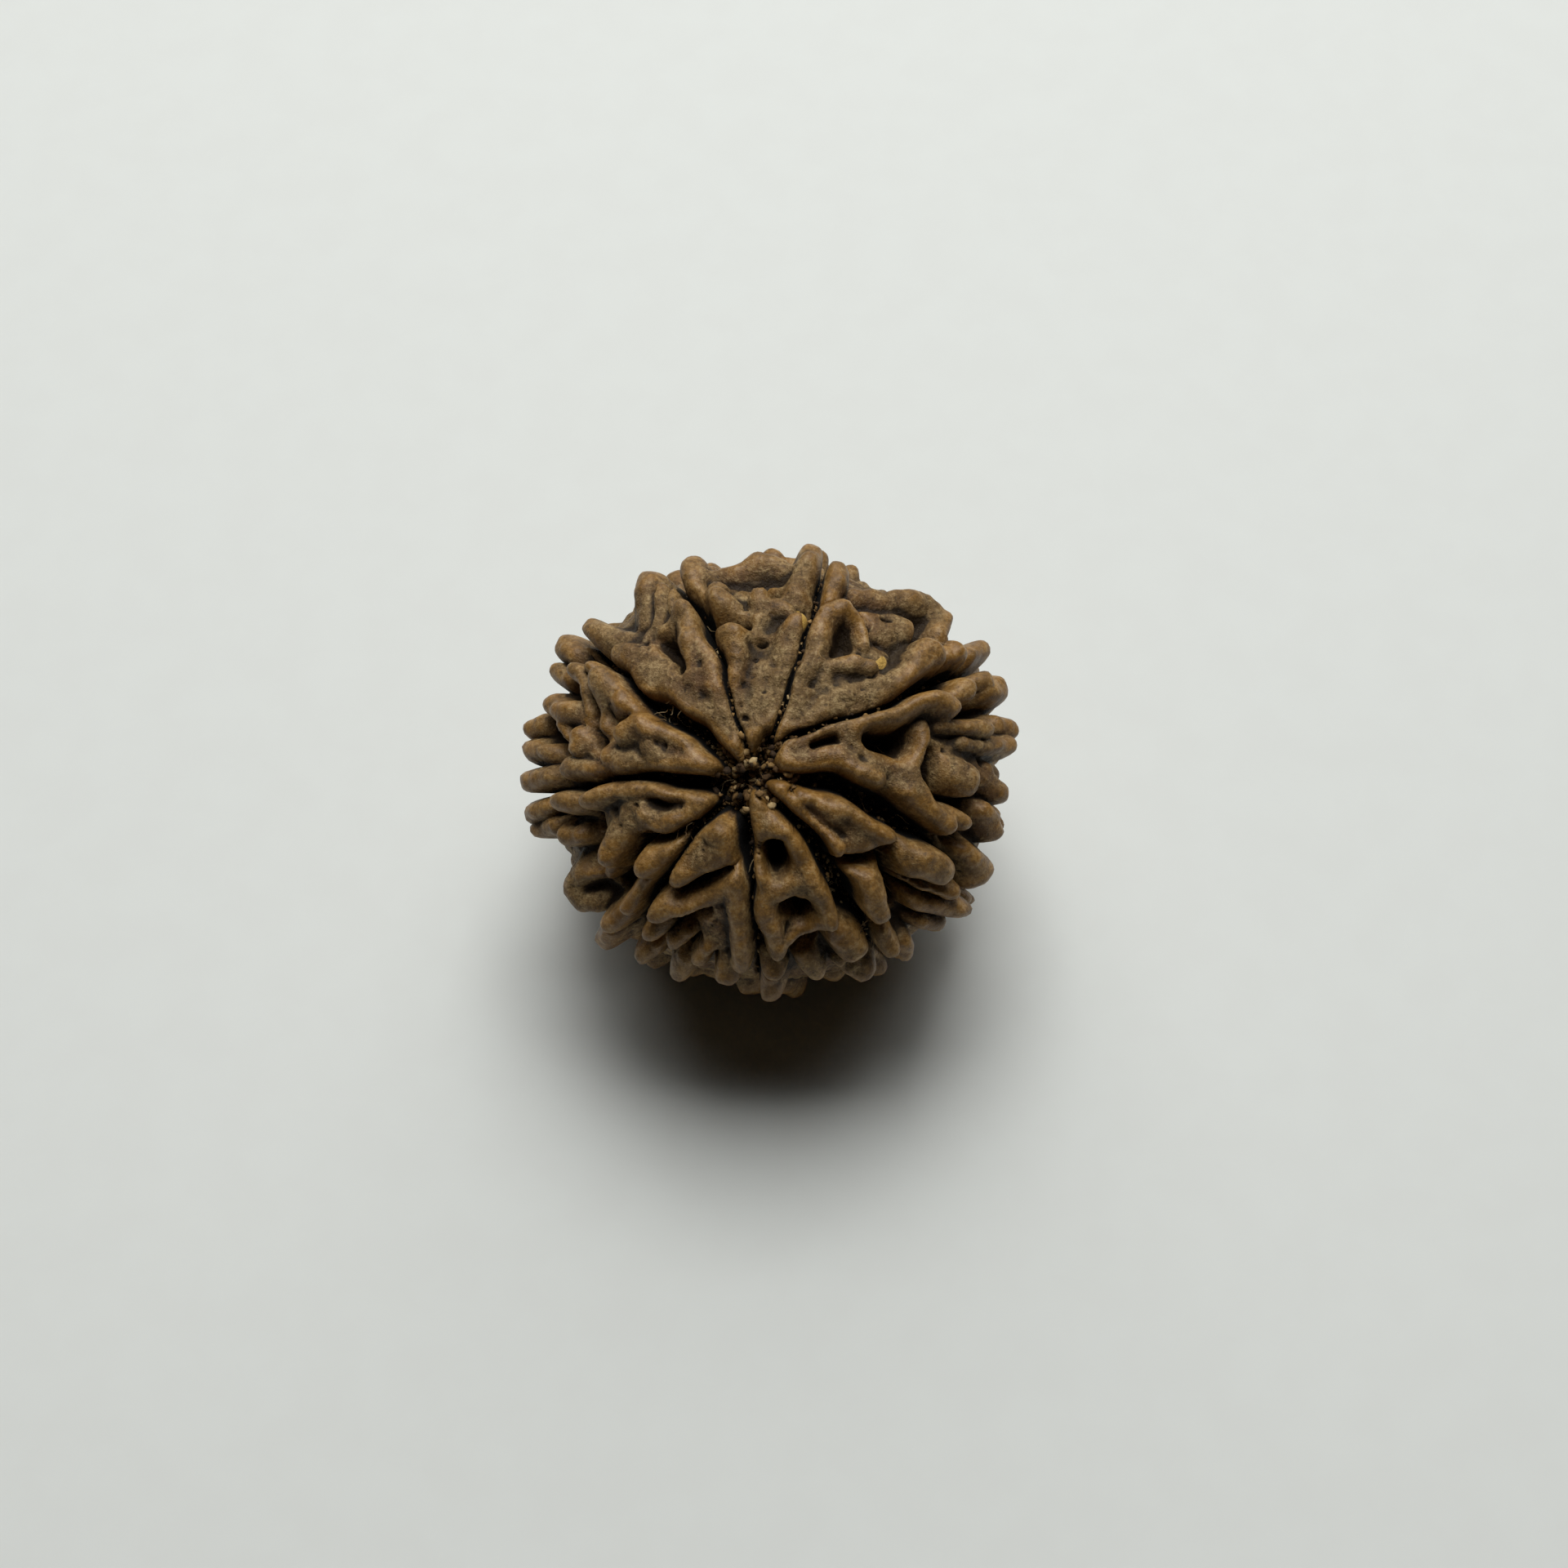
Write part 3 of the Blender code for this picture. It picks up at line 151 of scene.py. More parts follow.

# %% [markdown]
# ## Furrows
# Seen from above the pole, the furrows spread like the spokes of a bent wheel. Each is drawn as a few
# points, across and up the face, with half its width there. Drawing them one by one, and not by equal angles,
# keeps what makes this seed itself: the two narrow slits at the top and the wide split at the lower right.

# %% Furrows on the upper face
FACE_FURROWS = {
    "up_left": [
        (-0.4, 0.5, 0.25), (-0.65, 2.0, 0.13), (-1.05, 3.4, 0.14), (-1.5, 4.7, 0.15),
        (-1.95, 6.1, 0.2), (-2.4, 7.2, 0.33), (-2.9, 8.2, 0.33), (-3.9, 9.2, 0.22), (-4.4, 10.2, 0.18)
    ],
    "up_right": [
        (0.4, 0.6, 0.25), (1.15, 1.8, 0.2), (1.5, 3.1, 0.13), (1.95, 4.6, 0.13), (2.3, 6.2, 0.13),
        (2.75, 7.6, 0.15), (3.0, 8.8, 0.16), (3.2, 10.2, 0.18), (3.3, 11.2, 0.18)
    ],
    "right_high": [
        (0.7, 0.8, 0.25), (1.9, 1.6, 0.15), (3.2, 2.1, 0.13), (4.6, 2.5, 0.13), (6.0, 3.0, 0.16),
        (7.2, 3.65, 0.28), (8.5, 4.35, 0.45), (9.4, 4.9, 0.3), (10.6, 5.2, 0.18), (11.4, 5.1, 0.18)
    ],
    "right_low": [
        (0.6, -0.2, 0.25), (1.8, -0.2, 0.3), (3.2, -0.5, 0.42), (4.7, -0.95, 0.52), (6.2, -1.8, 0.58),
        (7.4, -2.7, 0.52), (8.6, -3.35, 0.3), (9.3, -4.3, 0.18), (9.8, -5.9, 0.2)
    ],
    "down_right": [
        (0.4, -0.8, 0.25), (1.5, -1.9, 0.26), (2.5, -3.0, 0.33), (3.4, -4.2, 0.4), (4.1, -5.5, 0.44),
        (4.6, -6.8, 0.44), (5.4, -7.9, 0.3), (6.0, -9.4, 0.2)
    ],
    "down": [
        (-0.5, -1.1, 0.4), (-0.4, -2.6, 0.4), (-0.3, -4.0, 0.42), (-0.25, -5.3, 0.28),
        (-0.1, -6.8, 0.15), (-0.1, -8.4, 0.14), (-0.2, -10.4, 0.16)
    ],
    "down_left": [
        (-1.2, -1.3, 0.35), (-2.2, -2.3, 0.28), (-3.0, -3.1, 0.22), (-3.6, -4.0, 0.2),
        (-4.4, -5.0, 0.23), (-5.2, -6.1, 0.3), (-5.9, -7.3, 0.25), (-6.7, -8.6, 0.2), (-7.2, -9.3, 0.2)
    ],
    "left": [
        (-1.4, -0.6, 0.4), (-2.8, -0.55, 0.36), (-4.3, -0.35, 0.3), (-6.0, -0.25, 0.22),
        (-7.4, -0.45, 0.18), (-8.6, -0.85, 0.22), (-10.0, -1.0, 0.2), (-11.6, -1.2, 0.18)
    ],
    "left_high": [
        (-1.2, 0.5, 0.3), (-2.3, 1.5, 0.35), (-3.5, 2.4, 0.42), (-4.6, 3.0, 0.45), (-5.5, 3.6, 0.3),
        (-6.3, 4.4, 0.2), (-7.3, 5.3, 0.2), (-8.4, 6.2, 0.2), (-9.2, 6.9, 0.2)
    ],
}
print(len(FACE_FURROWS), "furrows")

# %% [markdown]
# ## Ridges and knobs
# A ridge starts thin near the pole, grows outwards and ends in a knob. It is drawn like a brush stroke: a
# line of points, each with a height over the valley floor and half a width. A knob by itself is just a
# short stroke. Such strokes are easy to move about one at a time, which a sculpted mesh isn't.

# %% Ridges on the upper face
FACE_RIDGES = {
    "upper_left": [
        [(-0.9, 1.6, 1.2, 0.3), (-1.45, 3.2, 1.5, 0.5), (-2.1, 4.6, 1.6, 0.55), (-2.7, 6.0, 1.7, 0.6),
         (-3.3, 7.2, 2.0, 0.6), (-3.6, 7.8, 2.1, 0.55)],
        [(-3.6, 7.7, 2.0, 0.4), (-4.2, 7.3, 1.8, 0.38), (-4.8, 6.9, 1.6, 0.38)],
        [(-3.25, 6.2, 2.0, 0.45), (-3.2, 5.3, 1.7, 0.5), (-2.8, 4.4, 1.55, 0.5)],
        [(-1.8, 1.9, 1.2, 0.35), (-3.1, 3.4, 1.45, 0.6), (-4.6, 4.4, 1.55, 0.65), (-6.0, 5.4, 1.7, 0.65),
         (-6.9, 6.0, 1.8, 0.5)],
        [(-4.6, 5.0, 1.45, 1.3), (-5.3, 6.4, 1.45, 1.0)],
        [(-6.6, 6.7, 1.6, 0.6), (-7.6, 6.8, 2.0, 0.68), (-8.4, 6.9, 2.3, 0.72)],
        [(-5.6, 7.4, 1.4, 1.1), (-4.9, 8.2, 1.3, 1.1)],
        [(-6.0, 7.5, 1.6, 0.6), (-5.95, 8.5, 2.0, 0.7), (-5.7, 9.4, 2.4, 0.72)],
        [(-5.1, 7.3, 1.6, 0.33), (-5.0, 8.3, 1.9, 0.36), (-4.9, 9.0, 2.1, 0.38)],
        [(-4.4, 8.2, 1.6, 0.3), (-4.25, 8.9, 1.9, 0.33)],
    ],
    "top": [
        [(-0.35, 2.0, 1.3, 0.35), (-0.7, 3.8, 1.45, 0.45), (-1.0, 5.2, 1.65, 0.5), (-1.1, 6.3, 2.1, 0.6)],
        [(-0.7, 6.5, 1.7, 0.4), (0.0, 6.3, 1.45, 0.35)],
        [(0.95, 2.2, 1.3, 0.35), (1.25, 4.0, 1.45, 0.45), (1.55, 5.6, 1.6, 0.5), (1.85, 7.0, 2.0, 0.6)],
        [(-0.9, 7.9, 1.6, 0.5), (-1.7, 8.2, 2.1, 0.62), (-2.1, 8.3, 2.25, 0.6)],
        [(-2.2, 9.0, 1.8, 0.4), (-2.0, 9.2, 1.8, 0.4)],
        [(0.0, 7.8, 1.6, 0.6), (-0.05, 8.6, 2.1, 0.5)],
        [(0.8, 8.1, 1.7, 0.5), (1.4, 8.0, 1.7, 0.5)],
        [(-3.2, 8.9, 1.6, 0.55), (-3.4, 9.7, 2.1, 0.65), (-3.45, 10.2, 2.3, 0.65)],
        [(-2.7, 9.9, 1.7, 0.5), (-1.3, 10.3, 1.8, 0.55), (0.0, 10.6, 2.1, 0.6), (1.2, 10.3, 1.8, 0.5)],
        [(-2.0, 9.0, 1.4, 1.0), (1.6, 8.9, 1.4, 1.0)],
        [(1.9, 9.0, 1.6, 0.5), (2.2, 10.0, 2.1, 0.65), (2.4, 10.8, 2.4, 0.65)],
    ],
    "upper_right": [
        [(1.9, 3.0, 1.4, 0.4), (2.5, 4.8, 1.6, 0.55), (2.95, 6.4, 1.85, 0.6), (3.4, 7.4, 2.1, 0.6),
         (4.1, 7.7, 2.1, 0.5), (4.9, 7.2, 1.8, 0.42), (5.2, 6.3, 1.6, 0.4)],
        [(3.9, 5.1, 1.6, 0.45), (4.7, 5.1, 1.9, 0.45), (5.4, 5.0, 2.0, 0.42)],
        [(2.1, 2.4, 1.3, 0.35), (3.5, 3.15, 1.5, 0.5), (5.0, 3.65, 1.6, 0.55), (6.4, 4.2, 1.85, 0.6),
         (7.5, 5.0, 2.1, 0.68), (8.2, 5.5, 2.3, 0.7)],
        [(3.4, 4.0, 1.4, 0.8), (5.5, 5.6, 1.35, 1.2)],
        [(3.4, 8.4, 1.6, 0.45), (3.6, 9.3, 2.1, 0.58), (3.65, 9.9, 2.3, 0.5)],
        [(4.7, 9.0, 1.6, 0.5), (5.9, 8.8, 1.9, 0.6), (7.0, 8.6, 2.0, 0.65), (8.1, 8.3, 2.2, 0.7),
         (8.7, 7.6, 2.2, 0.6), (8.8, 6.7, 1.9, 0.45)],
        [(5.2, 7.6, 1.5, 1.0), (7.0, 7.4, 1.5, 1.2)],
        [(9.1, 5.8, 1.8, 0.5), (9.3, 5.8, 2.2, 0.62)],
        [(10.1, 6.0, 1.9, 0.45), (10.5, 6.0, 2.3, 0.5)],
    ],
    "right": [
        [(1.9, 1.4, 1.2, 0.25), (3.3, 1.85, 1.45, 0.3), (4.8, 2.2, 1.55, 0.4), (6.1, 2.75, 1.9, 0.5),
         (7.2, 3.25, 2.2, 0.6), (8.2, 3.35, 2.4, 0.62), (8.8, 3.0, 2.3, 0.5)],
        [(1.9, 0.6, 1.2, 0.35), (3.1, 0.75, 1.4, 0.45), (4.3, 0.5, 1.55, 0.55), (5.3, -0.1, 1.9, 0.6),
         (5.7, -0.4, 2.0, 0.5)],
        [(5.0, 1.9, 1.45, 0.4), (5.3, 1.0, 1.45, 0.5), (5.7, 0.2, 1.6, 0.5)],
        [(8.2, 2.1, 1.5, 0.45), (7.9, 1.1, 1.5, 0.55), (7.4, 0.2, 1.5, 0.7), (7.5, -0.9, 1.7, 0.75),
         (8.2, -1.8, 1.9, 0.55), (8.8, -2.6, 2.1, 0.5)],
        [(8.6, 0.9, 1.3, 1.0), (10.4, 0.4, 1.4, 1.0)],
        [(9.2, 0.2, 1.6, 0.6), (9.9, -0.3, 2.1, 0.75)],
        [(10.9, -0.2, 1.9, 0.6), (11.3, -0.8, 2.2, 0.6)],
        [(8.9, 2.2, 1.7, 0.35), (9.8, 2.15, 2.0, 0.4), (10.6, 2.0, 2.2, 0.42)],
        [(9.9, 1.3, 1.8, 0.38), (10.9, 1.2, 2.1, 0.42), (11.6, 1.2, 2.3, 0.45)],
        [(11.4, 2.2, 2.1, 0.5), (11.7, 2.0, 2.4, 0.5)],
        [(9.3, 3.9, 1.8, 0.45), (9.7, 4.0, 2.2, 0.5)],
        [(10.3, 4.4, 2.0, 0.42), (10.5, 4.5, 2.2, 0.42)],
        [(10.8, 3.9, 2.0, 0.5), (11.2, 4.0, 2.4, 0.6)],
        [(9.2, -2.1, 1.7, 0.38), (9.7, -2.4, 2.0, 0.42)],
        [(10.1, -3.9, 1.7, 0.55), (10.4, -4.8, 2.4, 0.75)],
        [(10.8, -1.9, 2.0, 0.5), (11.2, -2.9, 2.2, 0.5)],
    ],
    "lower_right": [
        [(1.35, -0.4, 1.2, 0.25), (2.4, -0.95, 1.45, 0.35), (3.7, -1.5, 1.6, 0.45), (5.0, -2.0, 1.9, 0.55),
         (6.2, -2.7, 2.2, 0.62)],
        [(2.2, -1.3, 1.3, 0.45), (3.6, -2.3, 1.5, 0.75), (5.1, -3.1, 1.65, 0.8)],
        [(1.6, -1.0, 1.3, 0.25), (2.5, -2.1, 1.45, 0.35), (3.3, -3.1, 1.7, 0.45), (3.9, -3.7, 1.9, 0.4)],
        [(4.9, -4.9, 1.9, 0.6), (5.4, -5.7, 2.1, 0.78), (5.9, -6.5, 2.3, 0.68)],
        [(7.2, -3.9, 1.8, 0.65), (7.9, -4.2, 2.2, 0.9), (8.5, -4.6, 2.3, 0.75)],
        [(8.2, -5.5, 1.6, 0.5), (9.1, -5.5, 2.2, 0.55)],
        [(7.6, -6.3, 1.6, 0.4), (8.6, -6.5, 2.1, 0.5), (9.6, -6.4, 2.4, 0.5)],
        [(8.0, -7.5, 1.8, 0.5), (8.6, -7.5, 2.1, 0.5)],
        [(6.2, -7.8, 1.8, 0.4), (6.3, -8.4, 2.2, 0.45)],
        [(6.9, -8.5, 1.8, 0.4), (6.9, -9.1, 2.1, 0.45)],
    ],
    "bottom": [
        [(0.3, -1.5, 1.2, 0.3), (1.2, -2.6, 1.55, 0.45), (2.1, -3.7, 1.6, 0.45), (2.9, -4.8, 1.8, 0.5),
         (3.5, -5.9, 2.1, 0.55), (3.8, -6.7, 2.3, 0.5)],
        [(0.0, -2.2, 1.3, 0.28), (0.1, -3.4, 1.55, 0.25), (0.3, -4.8, 1.6, 0.28), (0.5, -6.1, 1.75, 0.36),
         (0.7, -7.4, 2.0, 0.42), (0.9, -8.6, 2.15, 0.42)],
        [(0.7, -5.7, 1.7, 0.42), (1.6, -5.65, 1.7, 0.38), (2.5, -5.2, 1.7, 0.4)],
        [(1.2, -8.3, 1.9, 0.35), (2.0, -7.8, 1.6, 0.32), (3.0, -7.3, 1.7, 0.32), (3.8, -6.9, 2.0, 0.38)],
        [(0.6, -9.4, 1.6, 0.45), (0.7, -9.9, 2.1, 0.5)],
        [(0.4, -10.6, 1.8, 0.5), (0.3, -11.0, 2.2, 0.55)],
        [(3.9, -7.9, 1.7, 0.6), (4.6, -8.7, 2.2, 0.72)],
        [(4.3, -9.7, 1.7, 0.5), (5.0, -9.9, 2.2, 0.55)],
        [(2.2, -9.3, 1.5, 0.5), (2.7, -10.1, 1.9, 0.6)],
    ],
    "lower_left": [
        [(-1.3, -3.05, 1.75, 0.65), (-1.9, -3.6, 1.7, 0.8), (-2.8, -4.4, 1.75, 0.62), (-3.5, -5.0, 2.0, 0.5)],
        [(-2.7, -3.3, 1.6, 0.33), (-3.3, -4.1, 1.7, 0.33), (-3.7, -4.9, 1.9, 0.38)],
        [(-1.0, -5.3, 1.75, 0.5), (-0.9, -6.4, 1.75, 0.48), (-0.85, -7.8, 1.9, 0.45),
         (-0.9, -9.3, 2.2, 0.45)],
        [(-1.5, -5.8, 1.6, 0.4), (-2.4, -6.1, 1.55, 0.4), (-3.4, -6.3, 1.9, 0.42), (-4.7, -6.6, 2.3, 0.45)],
        [(-2.1, -7.0, 1.4, 0.9), (-2.1, -8.4, 1.6, 0.9)],
        [(-1.6, -9.3, 1.7, 0.45), (-1.6, -10.0, 2.2, 0.48)],
        [(-2.7, -8.8, 1.7, 0.45), (-3.0, -9.3, 2.0, 0.5)],
        [(-4.7, -7.3, 1.7, 0.4), (-5.3, -7.6, 2.2, 0.48)],
        [(-3.6, -8.0, 1.6, 0.4), (-4.3, -8.3, 1.9, 0.42)],
        [(-5.2, -8.8, 1.8, 0.48), (-5.9, -9.0, 2.2, 0.5)],
        [(-3.8, -9.6, 1.8, 0.5), (-4.2, -10.1, 2.1, 0.5)],
    ],
    "left": [
        [(-1.9, -1.2, 1.2, 0.3), (-3.2, -1.0, 1.45, 0.38), (-4.6, -0.9, 1.55, 0.38), (-6.0, -0.9, 1.6, 0.38),
         (-7.2, -1.05, 2.0, 0.42), (-7.9, -1.15, 2.2, 0.45)],
        [(-2.3, -1.6, 1.3, 0.4), (-3.2, -2.2, 1.6, 0.45), (-4.3, -2.5, 1.75, 0.48), (-5.2, -2.2, 1.7, 0.48)],
        [(-5.8, -2.3, 1.45, 0.65), (-6.7, -3.1, 1.7, 0.62), (-7.1, -4.0, 2.1, 0.55)],
        [(-3.6, -3.4, 1.5, 0.32), (-4.4, -3.8, 1.8, 0.38), (-5.1, -4.3, 2.1, 0.45)],
        [(-5.0, -4.9, 1.6, 0.35), (-5.6, -5.6, 1.9, 0.38), (-6.2, -6.3, 2.2, 0.42)],
        [(-6.7, -6.8, 1.8, 0.45), (-7.2, -7.3, 2.3, 0.5)],
        [(-7.8, -8.0, 1.9, 0.45), (-8.1, -8.3, 2.3, 0.5)],
        [(-8.6, -1.5, 1.7, 0.42), (-9.5, -1.5, 2.2, 0.48)],
        [(-10.6, -1.8, 1.9, 0.48), (-11.2, -2.0, 2.3, 0.48)],
        [(-10.4, -2.9, 1.8, 0.5), (-11.0, -2.9, 2.2, 0.5)],
        [(-9.0, -3.1, 1.6, 0.48), (-9.5, -3.2, 1.9, 0.55)],
        [(-6.9, -3.0, 1.3, 0.9), (-7.4, -5.3, 1.3, 0.8)],
        [(-8.6, -4.9, 1.7, 0.55), (-9.3, -5.3, 2.2, 0.65), (-9.0, -6.3, 2.3, 0.65), (-8.3, -6.6, 1.9, 0.5)],
    ],
    "left_high": [
        [(-1.8, 0.3, 1.2, 0.3), (-3.0, 1.45, 1.45, 0.4), (-4.6, 2.2, 1.6, 0.5), (-5.5, 2.2, 1.85, 0.55),
         (-6.1, 1.9, 2.0, 0.5)],
        [(-1.9, -0.2, 1.3, 0.28), (-3.0, 0.2, 1.5, 0.35), (-4.4, 0.5, 1.55, 0.4), (-5.1, 1.3, 1.6, 0.42)],
        [(-5.2, 0.4, 1.45, 0.42), (-6.4, 0.45, 1.65, 0.45), (-7.3, 0.9, 1.75, 0.45)],
        [(-5.9, 2.9, 1.5, 0.55), (-6.6, 3.4, 1.9, 0.72), (-7.4, 4.3, 2.3, 0.7)],
        [(-7.3, 3.2, 1.6, 0.3), (-7.4, 2.2, 1.5, 0.3)],
        [(-8.2, 1.0, 1.3, 0.9), (-8.6, 3.6, 1.2, 0.9)],
        [(-8.7, 1.7, 1.75, 0.5), (-8.9, 1.1, 1.75, 0.5)],
        [(-6.4, 0.15, 1.4, 0.3), (-8.2, 0.1, 1.7, 0.38), (-9.6, 0.2, 1.7, 0.45)],
        [(-10.5, -0.2, 1.9, 0.5), (-11.4, -0.4, 2.3, 0.5)],
        [(-10.6, 0.9, 1.8, 0.5), (-11.4, 1.0, 2.2, 0.55)],
        [(-11.2, 2.4, 1.9, 0.5), (-11.4, 2.2, 2.2, 0.6)],
        [(-8.2, 3.0, 1.6, 0.28), (-8.6, 4.2, 1.9, 0.32), (-8.9, 4.9, 2.1, 0.42)],
        [(-8.0, 4.6, 1.7, 0.35), (-8.1, 5.0, 2.0, 0.42)],
        [(-9.4, 5.8, 1.9, 0.45), (-9.9, 6.2, 2.3, 0.58)],
        [(-9.7, 4.8, 1.7, 0.45), (-10.2, 5.0, 2.1, 0.5)],
        [(-8.4, 2.7, 1.5, 0.4), (-9.6, 3.0, 1.9, 0.5), (-10.4, 3.4, 2.1, 0.55)],
        [(-9.7, 2.3, 1.8, 0.42), (-9.6, 1.7, 1.6, 0.4)],
    ],
}
print(sum(len(lobe) for lobe in FACE_RIDGES.values()), "ridges and knobs")

# %% [markdown]
# ## Gaps and holes
# Between the ridges the wall is pitted with gaps, and the lowest face even has two deep windows. They are
# strokes as well, but their third number says how much of a furrow's depth they have.

# %% Gaps on the upper face
FACE_GAPS = {
    "upper_left": [
        [(-4.0, 5.8, 0.4, 0.35), (-4.6, 6.3, 0.45, 0.4)],
        [(-3.6, 5.0, 0.4, 0.2), (-3.75, 5.5, 0.4, 0.25)],
    ],
    "top": [
        [(-1.9, 7.3, 0.6, 0.25), (-0.6, 7.2, 0.6, 0.25)],
        [(0.3, 6.4, 0.4, 0.12), (0.6, 6.45, 0.4, 0.12)],
        [(-0.5, 9.3, 0.6, 0.3), (0.2, 9.2, 0.9, 0.4), (0.9, 9.1, 0.6, 0.3)],
    ],
    "upper_right": [
        [(3.4, 8.1, 0.45, 0.18), (4.6, 8.2, 0.45, 0.2), (5.5, 7.4, 0.35, 0.25)],
        [(8.0, 7.1, 0.7, 0.28), (8.0, 6.4, 0.7, 0.28)],
        [(4.2, 6.0, 0.35, 0.4), (4.4, 6.3, 0.35, 0.4)],
        [(6.35, 7.75, 0.3, 0.2), (6.45, 7.7, 0.3, 0.2)],
    ],
    "right": [
        [(5.9, 1.65, 0.75, 0.4), (7.1, 1.5, 0.9, 0.6)],
        [(8.5, 0.7, 0.6, 0.35), (8.6, -0.9, 0.6, 0.35)],
        [(9.1, -1.3, 0.6, 0.25), (10.3, -1.3, 0.6, 0.25)],
        [(9.7, 3.1, 0.7, 0.28), (11.0, 3.1, 0.7, 0.28)],
        [(9.8, -3.2, 0.9, 0.28), (10.1, -3.2, 0.9, 0.28)],
        [(2.9, 1.3, 0.3, 0.17), (3.5, 1.4, 0.35, 0.18), (4.1, 1.5, 0.3, 0.17)],
    ],
    "lower_right": [
        [(4.3, -4.3, 0.8, 0.3), (5.5, -4.3, 0.8, 0.3), (6.6, -3.7, 0.8, 0.3)],
        [(6.5, -4.6, 0.9, 0.35), (6.8, -5.6, 0.9, 0.45), (6.9, -6.9, 0.9, 0.45)],
        [(7.3, -5.1, 0.5, 0.18), (8.3, -5.3, 0.6, 0.15), (9.2, -5.2, 0.5, 0.15)],
        [(7.3, -5.9, 0.6, 0.2), (8.6, -6.0, 0.6, 0.15)],
        [(1.95, -0.95, 0.5, 0.14), (2.05, -1.0, 0.5, 0.14)],
        [(2.7, -1.7, 0.08, 0.25), (3.4, -2.5, 0.1, 0.3), (4.1, -3.1, 0.08, 0.3)],
    ],
    "bottom": [
        [(0.95, -3.7, 1.0, 0.42), (1.2, -4.5, 1.0, 0.48)],
        [(1.8, -6.7, 1.0, 0.42), (2.2, -6.9, 1.0, 0.45)],
        [(1.5, -9.0, 0.8, 0.25), (2.7, -8.4, 0.8, 0.3), (3.4, -7.7, 0.7, 0.22)],
    ],
    "lower_left": [
        [(-1.3, -4.75, 0.8, 0.22), (-2.6, -5.45, 0.8, 0.28), (-4.0, -5.8, 0.8, 0.28)],
        [(-3.6, -7.1, 0.7, 0.35), (-2.7, -6.8, 0.6, 0.3)],
        [(-3.1, -8.5, 0.6, 0.2), (-3.6, -9.0, 0.7, 0.25)],
        [(-4.8, -8.2, 0.8, 0.22), (-4.6, -9.2, 0.8, 0.25)],
        [(-2.2, -9.2, 0.6, 0.2), (-2.2, -9.8, 0.6, 0.2)],
        [(-2.4, -3.4, 0.08, 0.25), (-2.9, -4.1, 0.08, 0.25)],
    ],
    "left": [
        [(-8.0, -3.7, 0.9, 0.42), (-8.5, -4.4, 0.9, 0.38)],
        [(-5.6, -3.5, 0.9, 0.3), (-6.3, -4.7, 0.9, 0.38)],
        [(-6.9, -5.2, 0.8, 0.35), (-7.5, -5.9, 0.8, 0.35)],
        [(-8.1, -2.1, 0.7, 0.3), (-7.9, -2.9, 0.7, 0.3)],
        [(-9.8, -2.2, 0.6, 0.25), (-10.4, -2.3, 0.6, 0.2)],
        [(-3.6, -1.6, 0.15, 0.42), (-4.8, -1.55, 0.15, 0.42)],
        [(-2.9, -2.8, 0.9, 0.25), (-4.0, -3.05, 0.8, 0.2), (-5.1, -3.3, 0.7, 0.25)],
    ],
    "left_high": [
        [(-10.2, 2.2, 0.8, 0.35), (-9.8, 1.2, 0.9, 0.35)],
        [(-7.9, 2.1, 0.7, 0.25), (-7.8, 1.4, 0.7, 0.25)],
        [(-7.8, 3.6, 0.6, 0.22), (-7.8, 2.8, 0.6, 0.22)],
        [(-6.2, 2.6, 0.6, 0.2), (-6.8, 2.1, 0.6, 0.25)],
        [(-9.5, 4.1, 0.7, 0.32), (-9.0, 3.7, 0.6, 0.25)],
        [(-10.8, 1.7, 0.7, 0.3), (-10.4, 1.8, 0.7, 0.3)],
    ],
    "pole": [
        [(-1.3, -0.5, 0.85, 0.65), (-0.4, -0.3, 0.9, 0.7), (0.6, 0.1, 0.85, 0.55)],
        [(0.2, 0.9, 0.9, 0.35), (0.8, 1.5, 0.9, 0.35)],
        [(-1.4, -1.3, 0.95, 0.45), (-1.0, -2.0, 0.95, 0.45)],
    ],
}
print(sum(len(lobe) for lobe in FACE_GAPS.values()), "gaps and holes")

# %% [markdown]
# ## From a drawing to a curve on the ball
# The points of a drawing are laid on the crest spheroid, and a smooth curve is led through them. The curve
# used here passes through every point, which a Bezier curve with free handles would not promise.

# %% Curves on the crest spheroid
def on_crests(direction):
    """The point of the crest spheroid in a direction from the bead's centre."""
    x, y, z = (float(part) for part in direction)
    stretch = math.sqrt((x * x + y * y) / CREST_RADIUS**2 + z * z / CREST_HALF_HEIGHT**2)
    return Vector((x, y, z)) / stretch


def face_point(across, up):
    """The point of the crest spheroid that lies at these millimetres on the upper face."""
    share = min(math.hypot(across, up) / CREST_RADIUS, FACE_REACH)
    squeeze = share * CREST_RADIUS / math.hypot(across, up)
    return Vector((across * squeeze, up * squeeze, CREST_HALF_HEIGHT * math.sqrt(1 - share**2)))


def side_point(azimuth, polar):
    """The point of the crest spheroid at an azimuth and an angle from the upper pole, in radians."""
    outwards = math.sin(polar)
    return on_crests((outwards * math.cos(azimuth), outwards * math.sin(azimuth), math.cos(polar)))


def smooth_curve(points):
    """Points a step apart along a smooth curve through the given ones."""
    padded = [2 * points[0] - points[1], *points, 2 * points[-1] - points[-2]]
    made = []
    for before, start, end, after in zip(padded, padded[1:], padded[2:], padded[3:]):
        count = max(1, round(np.linalg.norm(end[:3] - start[:3]) / STEP))
        for t in np.arange(count) / count:
            made.append(0.5 * (2 * start + (end - before) * t
                               + (2 * before - 5 * start + 4 * end - after) * t**2
                               + (3 * start - before - 3 * end + after) * t**3))
    return [*made, points[-1]]


def stroke(places, sizes):
    """A brush stroke: rows of x, y, z on the crest spheroid, height and half-width."""
    rows = np.array(smooth_curve([np.array([*place, *size], float) for place, size in zip(places, sizes)]))
    rows[:, :3] = [on_crests(row[:3]) for row in rows]
    return rows


print("the uppermost point of the crests:", round(face_point(0, 0.001).z, 1), "mm from the centre")

